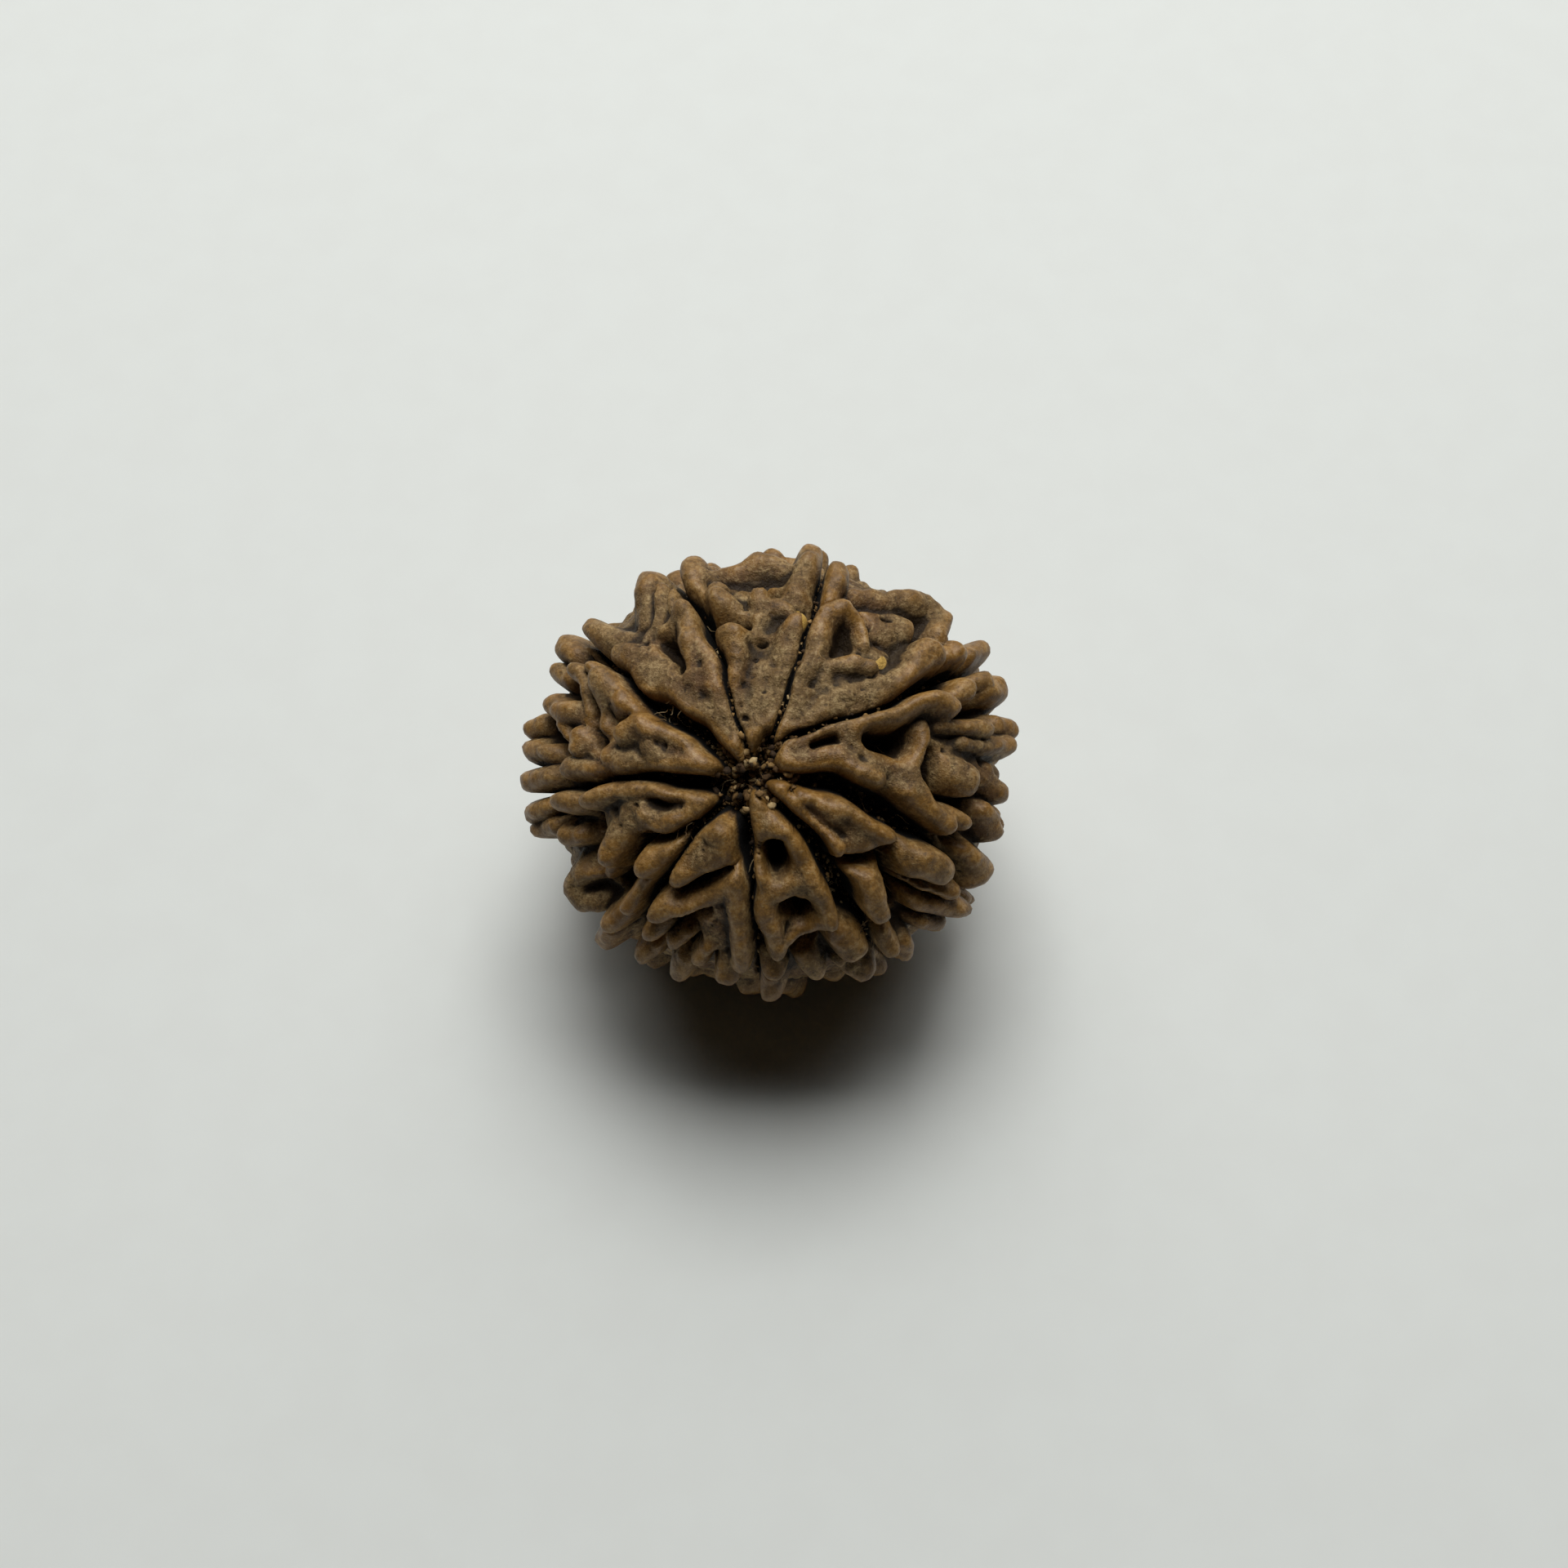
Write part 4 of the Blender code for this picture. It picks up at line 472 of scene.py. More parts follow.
# %% [markdown]
# ## How strokes become a surface
# Every stroke pushes the wall out, or in, around its line. The push is 1 on the line, a half at its
# half-width, and dies away beyond it. Where ridges meet, a sum would pile them up and a maximum would leave
# creases, so their heights are blended by a high power, which lies between the two.

# %% The push of the strokes
def bump(distance, half_width, power):
    """1 on a crest, a half at its half-width, and 0 well outside: the higher the power, the blunter."""
    return np.exp(-math.log(2) * (distance / half_width) ** power)


def lengths_along(vectors, way):
    """How far each vector reaches in a direction, in lengths of that direction."""
    reach = vectors[:, 0] * way[0] + vectors[:, 1] * way[1] + vectors[:, 2] * way[2]
    return reach / (way[0] ** 2 + way[1] ** 2 + way[2] ** 2)


def stroke_profile(points, rows, level):
    """The numbers of the points in a stroke's reach, and how far it stands over their level."""
    centre = rows[:, :3].mean(axis=0)
    reach = np.linalg.norm(rows[:, :3] - centre, axis=1).max() + 2 * rows[:, 4].max()
    near = np.flatnonzero(((points - centre) ** 2).sum(axis=1) < reach**2)
    over = np.zeros(len(near))
    for start, end in zip(rows, rows[1:]):
        way = end[:3] - start[:3]
        along = np.clip(lengths_along(points[near] - start[:3], way), 0, 1)
        distance = np.linalg.norm(points[near] - start[:3] - along[:, None] * way, axis=1)
        rise = np.maximum(start[3] + along * (end[3] - start[3]) - level[near], 0)
        half_width = (start[4] + along * (end[4] - start[4])) * (1 + FATTEN * rise)
        over = np.maximum(over, rise * bump(distance, half_width, BLUNTNESS))
    return near, over


def raise_ridges(points, strokes):
    """Height of the blended ridges over the floor spheroid at each point."""
    from_pole = np.hypot(points[:, 0], points[:, 1])
    inner_share = 1 / (1 + np.exp((from_pole - INNER_REACH) / INNER_FADE))
    level = OUTER_LEVEL + (INNER_LEVEL - OUTER_LEVEL) * inner_share
    heaped = np.zeros(len(points))
    for rows in strokes:
        near, over = stroke_profile(points, rows, level)
        heaped[near] += over**BLEND_POWER
    return level + heaped ** (1 / BLEND_POWER)


def hollow_share(points, strokes):
    """1 on the floor of a furrow, 0 outside the furrows, gaps and holes."""
    share = np.zeros(len(points))
    for rows in strokes:
        near, deep = stroke_profile(points, rows, np.zeros(len(points)))
        share[near] = np.maximum(share[near], deep)
    return share


# %% [markdown]
# ## The side that the photograph doesn't show
# Below the widest line the faces go on in the same way down to the other pole. No drawing exists for that
# side, so tiers of knobs are made by rule, with seeded chance to keep them from looking stamped.

# %% Furrows to the lower pole, and the tiers of knobs
def furrow_lines():
    """Nine furrows: as seen on the upper face, then on over the side to the lower pole."""
    chance = random.Random(SEED)
    lines = []
    for points in FACE_FURROWS.values():
        places = [face_point(across, up) for across, up, width in points]
        widths = [width for across, up, width in points]
        azimuth = math.atan2(places[-1].y, places[-1].x)
        for degrees in range(98, 179, 16):
            drift = math.radians(chance.uniform(-1.5, 1.5))
            places.append(side_point(azimuth + drift, math.radians(degrees)))
            widths.append(SIDE_FURROW_WIDTH)
        lines.append(stroke(places, [[min(1, width / WIDE_FURROW), width] for width in widths]))
    return lines


def on_face(lobes):
    """The strokes of a table of the upper face."""
    return [stroke([face_point(across, up) for across, up, size, width in points],
                   [[size, width] for across, up, size, width in points])
            for drawn in lobes.values() for points in drawn]


def knob(chance, azimuth, polar, top):
    """A knob of the hidden side: a short stroke that rises away from the upper pole."""
    width = chance.uniform(*KNOB_WIDTH)
    return stroke([side_point(azimuth, polar + 0.1), side_point(azimuth, polar)],
                  [[top * 0.8, width * 0.9], [top, width]])


def tier(chance, left, right, polar, tallness):
    """A row of knobs between two furrows, here and there a ridge from knob to knob, and a gap above."""
    around = CREST_RADIUS * math.sin(polar)
    half = max(0.2, (right - left) / 2 - FURROW_MARGIN / around)
    middle = (left + right) / 2
    ridges, tops = [], []
    for place in np.linspace(-1, 1, max(2, round((right - left) * around / KNOBS_APART))):
        beside_furrow = abs(place) > 0.99
        azimuth = middle + place * half + (0 if beside_furrow else chance.uniform(-0.05, 0.05))
        turn = polar + chance.uniform(-0.06, 0.06)
        top = tallness * chance.uniform(*(OUTER_KNOB if beside_furrow else INNER_KNOB))
        tops.append((side_point(azimuth, turn), top))
        ridges.append(knob(chance, azimuth, turn, top))
    for (start, top), (end, far_top) in zip(tops, tops[1:]):
        if chance.random() < 0.6:
            low = 0.75 * min(top, far_top)
            ridges.append(stroke([start, end], [[low, 0.4], [low, 0.4]]))
    centre = middle + chance.uniform(-0.4, 0.4) * half
    gap = stroke([side_point(centre - 0.4 * half, polar - 0.1), side_point(centre + 0.4 * half, polar - 0.1)],
                 [[chance.uniform(0.5, 0.8), 0.28], [chance.uniform(0.3, 0.7), 0.22]])
    return ridges, gap


def hidden_side():
    """Ridges and gaps where the upper face ends: tier below tier down each face."""
    chance = random.Random(SEED + 1)
    azimuths = sorted(math.atan2(points[-1][1], points[-1][0]) for points in FACE_FURROWS.values())
    ridges, gaps = [], []
    for left, right in zip(azimuths, azimuths[1:] + [azimuths[0] + 2 * math.pi]):
        polar = chance.uniform(*FIRST_TIER_DEG)
        tallness = FIRST_TIER_SHARE
        while polar < LAST_TIER_DEG:
            made, gap = tier(chance, left, right, math.radians(polar), tallness)
            ridges += made
            gaps.append(gap)
            polar += chance.uniform(*TIER_STEP_DEG)
            tallness = 1.0
    return ridges, gaps


hidden_ridges, hidden_gaps = hidden_side()
ridges = on_face(FACE_RIDGES) + hidden_ridges
hollows = furrow_lines() + on_face(FACE_GAPS) + hidden_gaps
print(len(ridges), "ridges and", len(hollows), "furrows and gaps in all")

# %% [markdown]
# ## The wall
# A direction from the seed's centre meets the wall at one place only. So the whole seed is one function:
# it takes directions and gives points. The drawn lines are made to waver by a smooth noise, because no
# line on a grown thing is straight, and shallow lumps are laid over everything.

# %% The wall as a function of the direction
def on_spheroid(directions, radii):
    return directions / np.linalg.norm(directions / np.array(radii), axis=1)[:, None]


def wall_points(directions, ridges, hollows):
    """The bead's surface along unit directions, in millimetres, and how much each point is in a hollow."""
    points = on_spheroid(directions, (CREST_RADIUS, CREST_RADIUS, CREST_HALF_HEIGHT))
    places = [Vector(point) for point in points]
    strayed = points + WAVER * np.array([noise.noise_vector(place * WAVER_FINENESS) for place in places])
    lumps = [sum(tall * noise.noise(place * fine) for tall, fine in LUMPS) for place in places]
    height = raise_ridges(strayed, ridges) + np.array(lumps)
    share = hollow_share(strayed, hollows)
    height = height * (1 - share) - FURROW_DEPTH * share
    floor = on_spheroid(directions, (FLOOR_RADIUS_X, FLOOR_RADIUS_Y, FLOOR_HALF_HEIGHT))
    return floor + directions * height[:, None], share


# %% [markdown]
# ## A ball with enough points
# The photograph shows a crease every half millimetre, so the mesh needs points a fifth of a millimetre
# apart. A ball made of twenty large triangles, each divided into a fine grid, spreads its points far more
# evenly than a ball of rings and segments, which crowds them at the poles.

# %% An evenly divided ball
EDGE_CUTS = 98             # cuts in each of the thirty edges: 196,020 triangles
REACH_ROUNDS = 24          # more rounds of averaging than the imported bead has, since the points lie closer


def even_ball():
    """A ball of radius 1 as a mesh, divided evenly."""
    ball = bmesh.new()
    bmesh.ops.create_icosphere(ball, subdivisions=1, radius=1.0)
    bmesh.ops.subdivide_edges(ball, edges=ball.edges, cuts=EDGE_CUTS, use_grid_fill=True)
    for point in ball.verts:
        point.co.normalize()
    mesh = bpy.data.meshes.new("bead_shell")
    ball.to_mesh(mesh)
    ball.free()
    return mesh


shell_mesh = even_ball()
print(len(shell_mesh.polygons), "triangles")

# %% [markdown]
# ## Letting the points slide, then swelling the knobs
# Pushed out as they are, the points would stretch on every steep flank. So each is moved towards the middle
# of its neighbours and set back on the wall, a few times over. The shape stays, and the triangles even out.
# A wall pushed out of a ball has knobs like cones, but real knobs are bulbs. So what stands out is blown up
# along its normals at the end, by a share that is itself averaged, or else the knobs would get a brim.

# %% Grow the wall
def neighbour_mean(points, edges, counts):
    """The mean of each point's neighbours."""
    total = np.zeros_like(points)
    for start, end in ((0, 1), (1, 0)):
        for column in range(points.shape[1]):
            total[:, column] += np.bincount(edges[:, start], points[edges[:, end], column], len(points))
    return total / counts[:, None]


def stands_out(points, edges, counts, rounds):
    """How far each point stands out from its surroundings, in millimetres: below 0 in a valley."""
    around = points
    for turn in range(rounds):
        around = neighbour_mean(around, edges, counts)
    outwards = points / np.linalg.norm(points, axis=1)[:, None]
    return ((points - around) * outwards).sum(axis=1)


def swollen(mesh, points, edges, counts, rounds):
    """Blows up the knobs and crests along their normals, which rounds their ends and fattens them."""
    mesh.vertices.foreach_set("co", points.ravel())
    mesh.update()
    normals = np.empty(len(points) * 3)
    mesh.vertex_normals.foreach_get("vector", normals)
    share = (stands_out(points, edges, counts, rounds) - SWOLLEN_FROM) / (SWOLLEN_WHOLLY - SWOLLEN_FROM)
    share = np.clip(share, 0, 1)[:, None]
    for turn in range(rounds):
        share = neighbour_mean(share, edges, counts)
    return points + SWELLING * share * normals.reshape(-1, 3)


def numbers_of(collection, name, width, kind=float):
    """One property of all points, edges or faces of a mesh, as an array."""
    values = np.empty(len(collection) * width, kind)
    collection.foreach_get(name, values)
    return values.reshape(-1, width)


edges = numbers_of(shell_mesh.edges, "vertices", 2, int)
directions = numbers_of(shell_mesh.vertices, "co", 3)
counts = np.bincount(edges.ravel(), minlength=len(directions))
for turn in range(RELAXING_ROUNDS):
    points, hollow = wall_points(directions, ridges, hollows)
    points = 0.3 * points + 0.7 * neighbour_mean(points, edges, counts)
    directions = points / np.linalg.norm(points, axis=1)[:, None]
points, hollow = wall_points(directions, ridges, hollows)
points = swollen(shell_mesh, points, edges, counts, REACH_ROUNDS)
edge_lengths = np.linalg.norm(points[edges[:, 0]] - points[edges[:, 1]], axis=1)
print("longest edge:", round(edge_lengths.max(), 2), "mm")

# %% [markdown]
# ## Skin
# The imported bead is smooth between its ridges. The real skin is finely wrinkled, with shallow dents and pits
# like pinpricks, and the knobs alone are smooth from years of handling. Real wrinkles in the mesh catch the
# light at the outline too, which a painted bump never does. So the larger ones are made in the mesh, and
# only the finest grain is left to the material.

# %% Wrinkles, dents and pits in the mesh
WRINKLE = 0.07             # height of the wrinkles
DENT = 0.34                # depth of the deepest dents
PIT = 0.28                 # depth of the pits
LUMP = 0.13                # height of the lumps that the knobs have as well
KNOB_HEIGHT = 0.35         # what stands out by this much is handled smooth


def skin_depth(place):
    """How far the skin lies below the smooth wall at a place, before the knobs are spared."""
    wrinkles = WRINKLE * noise.hetero_terrain(place * 1.5, 0.7, 2.1, 4, 0.6)
    dents = DENT * max(0.0, noise.noise(place * 1.1 + Vector((7, 3, 5))) - 0.25)
    pits = PIT * max(0.0, noise.noise(place * 2.6 + Vector((1, 9, 4))) - 0.42) / 0.3
    return wrinkles * 0.6 + dents + pits


smooth_knobs = np.clip(stands_out(points, edges, counts, REACH_ROUNDS) / KNOB_HEIGHT, 0, 1)
sunk = np.array([skin_depth(Vector(point)) for point in points])
broad_lumps = np.array([noise.noise(Vector(point) * 0.75) for point in points])
small_lumps = np.array([noise.noise(Vector(point) * 1.7) for point in points])
lumpy = LUMP * (broad_lumps + 0.6 * small_lumps)
points -= directions * (lumpy + sunk * (1 - 0.8 * smooth_knobs))[:, None]
print("the skin is up to", round(sunk.max(), 2), "mm deep")

# %% [markdown]
# ## Notes for the painter
# The material has to know what is knob, wall or furrow. Pointiness would tell it, but only inside one
# renderer. A few numbers kept with every point of the mesh do it better: how much the point stands out in
# a small and in a wide circle, how deep it lies in a hollow, and whether it is in a furrow. A slit counts as
# much as a wide furrow there, because both are full of dirt and deep in shade, and both get the nearly
# black paint that is dirt and painted shade at once. How far a point stands out also tells where painted
# shade darkens the valleys. Two pale marks on the wall, where its skin has chipped, are strokes too.

# %% Keep the numbers on the mesh
PALE_MARKS = {
    "top": [[(2.05, 8.1, 0.9, 0.15), (2.2, 7.5, 1.0, 0.24), (2.3, 6.9, 0.9, 0.13)]],
    "upper_right": [[(6.0, 5.4, 1.0, 0.2), (6.2, 5.8, 0.9, 0.17)]],
}
SLIT_WIDTH = 0.17          # half-width that the narrowest slits are painted with
CREST_SPAN = 0.9           # millimetres from the deepest valleys to the highest crests, seen widely
EDGE_SPAN = 0.24           # and seen closely
EDGE_ROUNDS = 6            # rounds of averaging that count as close


def keep_note(mesh, name, values):
    """Stores one number per point under a name that materials can read."""
    note = mesh.attributes.new(name, "FLOAT", "POINT")
    note.data.foreach_set("value", np.asarray(values, np.float32))


def strayed_points(places):
    """Places on the crest spheroid, moved as the drawn lines waver."""
    return places + WAVER * np.array([noise.noise_vector(Vector(place) * WAVER_FINENESS) for place in places])


def whole_furrows():
    """The furrows with full depth all along."""
    lines = []
    for rows in furrow_lines():
        rows[:, 3] = 1.0
        rows[:, 4] = np.maximum(rows[:, 4], SLIT_WIDTH)
        lines.append(rows)
    return lines


for name, rounds, span in (("crest", REACH_ROUNDS, CREST_SPAN), ("edge", EDGE_ROUNDS, EDGE_SPAN)):
    keep_note(shell_mesh, name, np.clip(stands_out(points, edges, counts, rounds) / span + 0.5, 0, 1))
strayed = strayed_points(on_spheroid(directions, (CREST_RADIUS, CREST_RADIUS, CREST_HALF_HEIGHT)))
furrow = hollow_share(strayed, whole_furrows())
keep_note(shell_mesh, "hollow", hollow)
keep_note(shell_mesh, "furrow", furrow)
keep_note(shell_mesh, "mark", hollow_share(strayed, on_face(PALE_MARKS)))
print("notes:", [note.name for note in shell_mesh.attributes if note.domain == "POINT"])

# %% [markdown]
# ## Lying on its lower knobs
# The seed lies with its pole tipped towards the camera. The knobs it rests on are worn level, just as in
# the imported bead, and the box of the whole is centred over the origin.

# %% Tip it over, wear its lowest knobs flat, and centre it
def lying():
    """Turns the bead's own axes to how it lies."""
    towards = Matrix.Rotation(math.radians(POLE_LEAN_DEG), 3, "X")
    sideways = Matrix.Rotation(-math.radians(POLE_SIDE_LEAN_DEG), 3, "Y")
    return towards @ sideways


def wear_flat(mesh):
    """Cuts the lowest knobs off level, where the bead rests."""
    work = bmesh.new()
    work.from_mesh(mesh)
    cut = bmesh.ops.bisect_plane(work, geom=[*work.verts, *work.edges, *work.faces], dist=1e-7,
                                 plane_co=(0, 0, 0), plane_no=(0, 0, 1), clear_inner=True)
    rims = [piece for piece in cut["geom_cut"] if isinstance(piece, bmesh.types.BMEdge)]
    bmesh.ops.edgenet_fill(work, edges=rims)
    bmesh.ops.recalc_face_normals(work, faces=work.faces)
    work.to_mesh(mesh)
    work.free()


def set_over_origin(mesh):
    """Moves the bead sideways until the middle of its box is over the origin, and says how far."""
    places = [vertex.co for vertex in mesh.vertices]
    shift = [-(min(co[axis] for co in places) + max(co[axis] for co in places)) / 2 for axis in (0, 1)]
    mesh.transform(Matrix.Translation((*shift, 0)))
    return shift


tipped = points @ np.array(lying()).T + (0, 0, CENTRE_HEIGHT)
shell_mesh.vertices.foreach_set("co", (tipped * MM).ravel())
shell_mesh.update()
wear_flat(shell_mesh)
bead_shift = set_over_origin(shell_mesh)
shell_mesh.shade_smooth()
shell = bpy.data.objects.new("bead_shell", shell_mesh)
bpy.context.scene.collection.objects.link(shell)
print("fine bead:", len(shell_mesh.polygons), "faces, moved by",
      [round(1000 * part, 2) for part in bead_shift], "mm")

# %% [markdown]
# ## Writing materials as sums
# A material is a net of nodes, and most of them only reckon. One small class lets such sums be written as
# they are on paper: it holds a socket, and each operator adds the Math node it stands for. Every other kind
# of node comes from its one method, which sets the node up before it plugs anything in.

# %% A socket that can be reckoned with
class Wire:
    """An output socket of a material's node, or the material's node tree before there is one."""

    def __init__(self, tree, socket=None):
        self.tree = tree
        self.socket = socket

    def add(self, kind, settings, inputs, output=0):
        """A node of a kind: its settings are set first, then its sockets' values and wires."""
        made = self.tree.nodes.new(kind)
        for name, value in settings.items():
            if name == "stops":
                self.set_stops(made.color_ramp, value)
            else:
                setattr(made, name, value)
        for name, value in inputs.items():
            if isinstance(value, Wire):
                self.tree.links.new(value.socket, made.inputs[name])
            else:
                made.inputs[name].default_value = value
        return Wire(self.tree, made.outputs[output])

    @staticmethod
    def set_stops(ramp, stops):
        """Sets a colour ramp's stops: pairs of position and colour."""
        while len(ramp.elements) < len(stops):
            ramp.elements.new(1.0)
        for element, (position, colour) in zip(ramp.elements, stops):
            element.position = position
            element.color = (*colour, 1)

    def reckon(self, operation, first, second=0.0):
        return self.add("ShaderNodeMath", {"operation": operation}, {0: first, 1: second})

    def __add__(self, other):
        return self.reckon("ADD", self, other)

    def __sub__(self, other):
        return self.reckon("SUBTRACT", self, other)

    def __rsub__(self, other):
        return self.reckon("SUBTRACT", other, self)

    def __mul__(self, other):
        return self.reckon("MULTIPLY", self, other)

    def between(self, low, high):
        """0 up to low, 1 from high on, and a soft step between them."""
        return self.add("ShaderNodeMapRange", {"interpolation_type": "SMOOTHSTEP"},
                        {"Value": self, "From Min": low, "From Max": high})

    def blend(self, first, second):
        """The first colour where this is 0, and the second where it is 1."""
        return self.add("ShaderNodeMix", {"data_type": "RGBA"}, {0: self, 6: first, 7: second}, 2)


def new_material(name):
    """A material with its shader node, and a wire to start sums from."""
    material = bpy.data.materials.new(name)
    material.use_nodes = True
    return material, material.node_tree.nodes["Principled BSDF"], Wire(material.node_tree)


print("materials are written as sums of wires")

# %% [markdown]
# ## The seed's finish
# Three finishes meet on this seed. The walls are a dull greyish brown, mottled, with pale dust in the grain.
# The knobs and edges have been handled until they are honey coloured and waxy. Down in the furrows it
# is almost black: dirt, and painted shade as well. The valleys between the ridges are darkened with
# painted shade too. The notes on the mesh say where each goes, and noise breaks up every border, since
# handling and dirt never stop at a line.

# %% Colours of the seed
# As the photograph shows them under its light, 0 to 255 for red, green and blue.
WALL_BROWN = (112, 86, 50)
WALL_GREY = (138, 112, 72)
WALL_RED = (98, 70, 40)
WALL_DARK = (56, 39, 21)
DUST = (186, 160, 115)
HONEY = (124, 88, 35)
AMBER = (160, 116, 52)
PALE_MARK = (200, 162, 84)
# painted shade: the valleys between the ridges are darkened towards this colour
VALLEY_SHADE = (30, 19, 8)
# partly dirt, partly painted shade: furrows, gaps and holes are painted nearly black
FURROW_DIRT_AND_SHADE = (8, 5, 3)
WALL_SHINE = 0.3           # a stony wall reflects less than most things
WAX_ROUGHNESS = 0.35
GRAIN_DEPTH = 0.2          # in millimetres


def colour(red, green, blue):
    """A colour given as the photograph shows it, 0 to 255, as the renderer reckons it."""
    parts = [part / 255 for part in (red, green, blue)]
    return tuple(part / 12.92 if part < 0.04045 else ((part + 0.055) / 1.055) ** 2.4 for part in parts)


print("wall colour:", [round(part, 3) for part in colour(*WALL_BROWN)])

# %% [markdown]
# The noise is measured in the seed's own millimetres, so its scales can be read off the photograph: patches
# of two millimetres, mottling of half a millimetre, and grain so fine that it only dulls the surface.

# %% Paint the seed
def seed_finish():
    """Dull mottled walls, honey coloured waxy knobs, painted shade in the valleys, and furrows painted nearly
    black, partly dirt and partly shade.
    """
    material, finish, wire = new_material("seed shell")
    place = wire.add("ShaderNodeTexCoord", {}, {}, "Object")

    def note(name):
        return wire.add("ShaderNodeAttribute", {"attribute_name": name}, {}, "Fac")

    def cloud(size, detail, rough):
        """Noise whose patches are this many millimetres wide."""
        return wire.add("ShaderNodeTexNoise", {},
                        {"Vector": place, "Scale": 1 / (size * MM), "Detail": detail, "Roughness": rough})

    patches = cloud(2.8, 3.0, 0.55)
    mottling = cloud(0.75, 5.0, 0.66)
    specks = cloud(0.2, 4.0, 0.7)
    grain = cloud(0.08, 2.0, 0.6)
    crest, edge, hollow, furrow = note("crest"), note("edge"), note("hollow"), note("furrow")

    wall = mottling.between(0.36, 0.64).blend((*colour(*WALL_BROWN), 1), (*colour(*WALL_GREY), 1))
    wall = patches.between(0.42, 0.68).blend(wall, (*colour(*WALL_RED), 1))
    knob = (crest * 0.8 + edge * 0.3 + patches * 0.8 + mottling * 0.5).between(1.32, 1.9)
    honey = mottling.between(0.35, 0.65).blend((*colour(*HONEY), 1), (*colour(*AMBER), 1))
    skin = (knob * 0.8).blend(wall, honey)
    dust = (specks + mottling * 0.5).between(0.74, 0.98) * (1 - knob * 0.4) * 0.65
    skin = dust.blend(skin, (*colour(*DUST), 1))
    dark = (1.0 - specks * 2.0).between(0.0, 0.35) * (1 - knob * 0.4) * 0.7
    skin = dark.blend(skin, (*colour(*WALL_DARK), 1))
    # painted shade: what lies low between the crests and edges is darkened as if in shade
    low = (0.78 - crest * 0.85 - edge * 0.4 + (mottling - 0.5) * 0.3).between(0.08, 0.42)
    skin = (low * 0.9).blend(skin, (*colour(*VALLEY_SHADE), 1))
    skin = note("mark").between(0.4, 0.6).blend(skin, (*colour(*PALE_MARK), 1))
    # partly dirt, partly painted shade: furrows, gaps, holes and the pit are painted nearly black
    black = (hollow * 0.9 + furrow + (mottling - 0.5) * 0.35).between(0.36, 0.72)
    skin = black.blend(skin, (*colour(*FURROW_DIRT_AND_SHADE), 1))
    wire.tree.links.new(skin.socket, finish.inputs["Base Color"])

    dull = 0.6 - knob * 0.2 + black * 0.4 + (specks - 0.5) * 0.25
    wire.tree.links.new(dull.socket, finish.inputs["Roughness"])
    finish.inputs["Specular IOR Level"].default_value = WALL_SHINE
    waxed = (knob * 0.3 + edge * 0.08 + (specks - 0.5) * 0.4).between(0.0, 0.6) * (1 - black) * 0.3
    wire.tree.links.new(waxed.socket, finish.inputs["Coat Weight"])
    finish.inputs["Coat Roughness"].default_value = WAX_ROUGHNESS
    relief = mottling * 0.8 * (1 - knob * 0.7) + specks * 0.5 * (1 - knob * 0.6) + grain * 0.15
    bump = wire.add("ShaderNodeBump", {},
                    {"Height": relief, "Strength": 0.95, "Distance": GRAIN_DEPTH * MM}, "Normal")
    wire.tree.links.new(bump.socket, finish.inputs["Normal"])
    return material


shell_mesh.materials.clear()
shell_mesh.materials.append(seed_finish())
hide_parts("bead")
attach(shell, "root")
print("the seed is painted with", len(shell_mesh.materials[0].node_tree.nodes), "nodes")

# %% [markdown]
# ## Crumbs in the furrows
# The fruit's flesh has dried to crumbs, and they stick in every furrow, thickest in the pit at the pole.
# Instances of one crumb would be cheap, but a real mesh is what can be kept and carried elsewhere. A small
# ball is squashed, dented and turned by chance once for each crumb, and all crumbs form one mesh.

# %% Scatter the crumbs
CRUMBS_IN_FURROWS = 1500
CRUMBS_IN_PIT = 460
PIT_RADIUS = 1.9           # of the crumbs' heap at the pole
CRUMB_SIZES = (0.05, 0.15)   # radius of the crumbs in the furrows, least and most
HEAP_SIZES = (0.08, 0.26)    # and of those in the pit
CRUMB_LIFTS = (0.0, 0.35)    # how far out from the wall they lie
HEAP_LIFTS = (0.0, 0.75)


def small_ball(subdivisions):
    """Points and triangles of a ball of radius 1."""
    ball = bmesh.new()
    bmesh.ops.create_icosphere(ball, subdivisions=subdivisions, radius=1.0)
    points = np.array([point.co for point in ball.verts])
    faces = np.array([[point.index for point in face.verts] for face in ball.faces])
    ball.free()
    return points, faces


def any_turn(chance):
    """A rotation by chance, as a matrix."""
    turned, _ = np.linalg.qr(chance.normal(size=(3, 3)))
    return turned * np.sign(np.linalg.det(turned))


def as_laid(places):
    """Places in the bead's own axes, in millimetres, to metres where it lies."""
    return (places @ np.array(lying()).T + (0, 0, CENTRE_HEIGHT)) * MM + np.array([*bead_shift, 0])


def one_mesh(name, points, faces, shades):
    """A mesh in metres from all the loose pieces of a kind, each with its shade."""
    mesh = bpy.data.meshes.new(name)
    mesh.from_pydata(as_laid(points).tolist(), [], faces.tolist())
    keep_note(mesh, "shade", shades)
    mesh.shade_smooth()
    made = bpy.data.objects.new(name, mesh)
    bpy.context.scene.collection.objects.link(made)
    return made


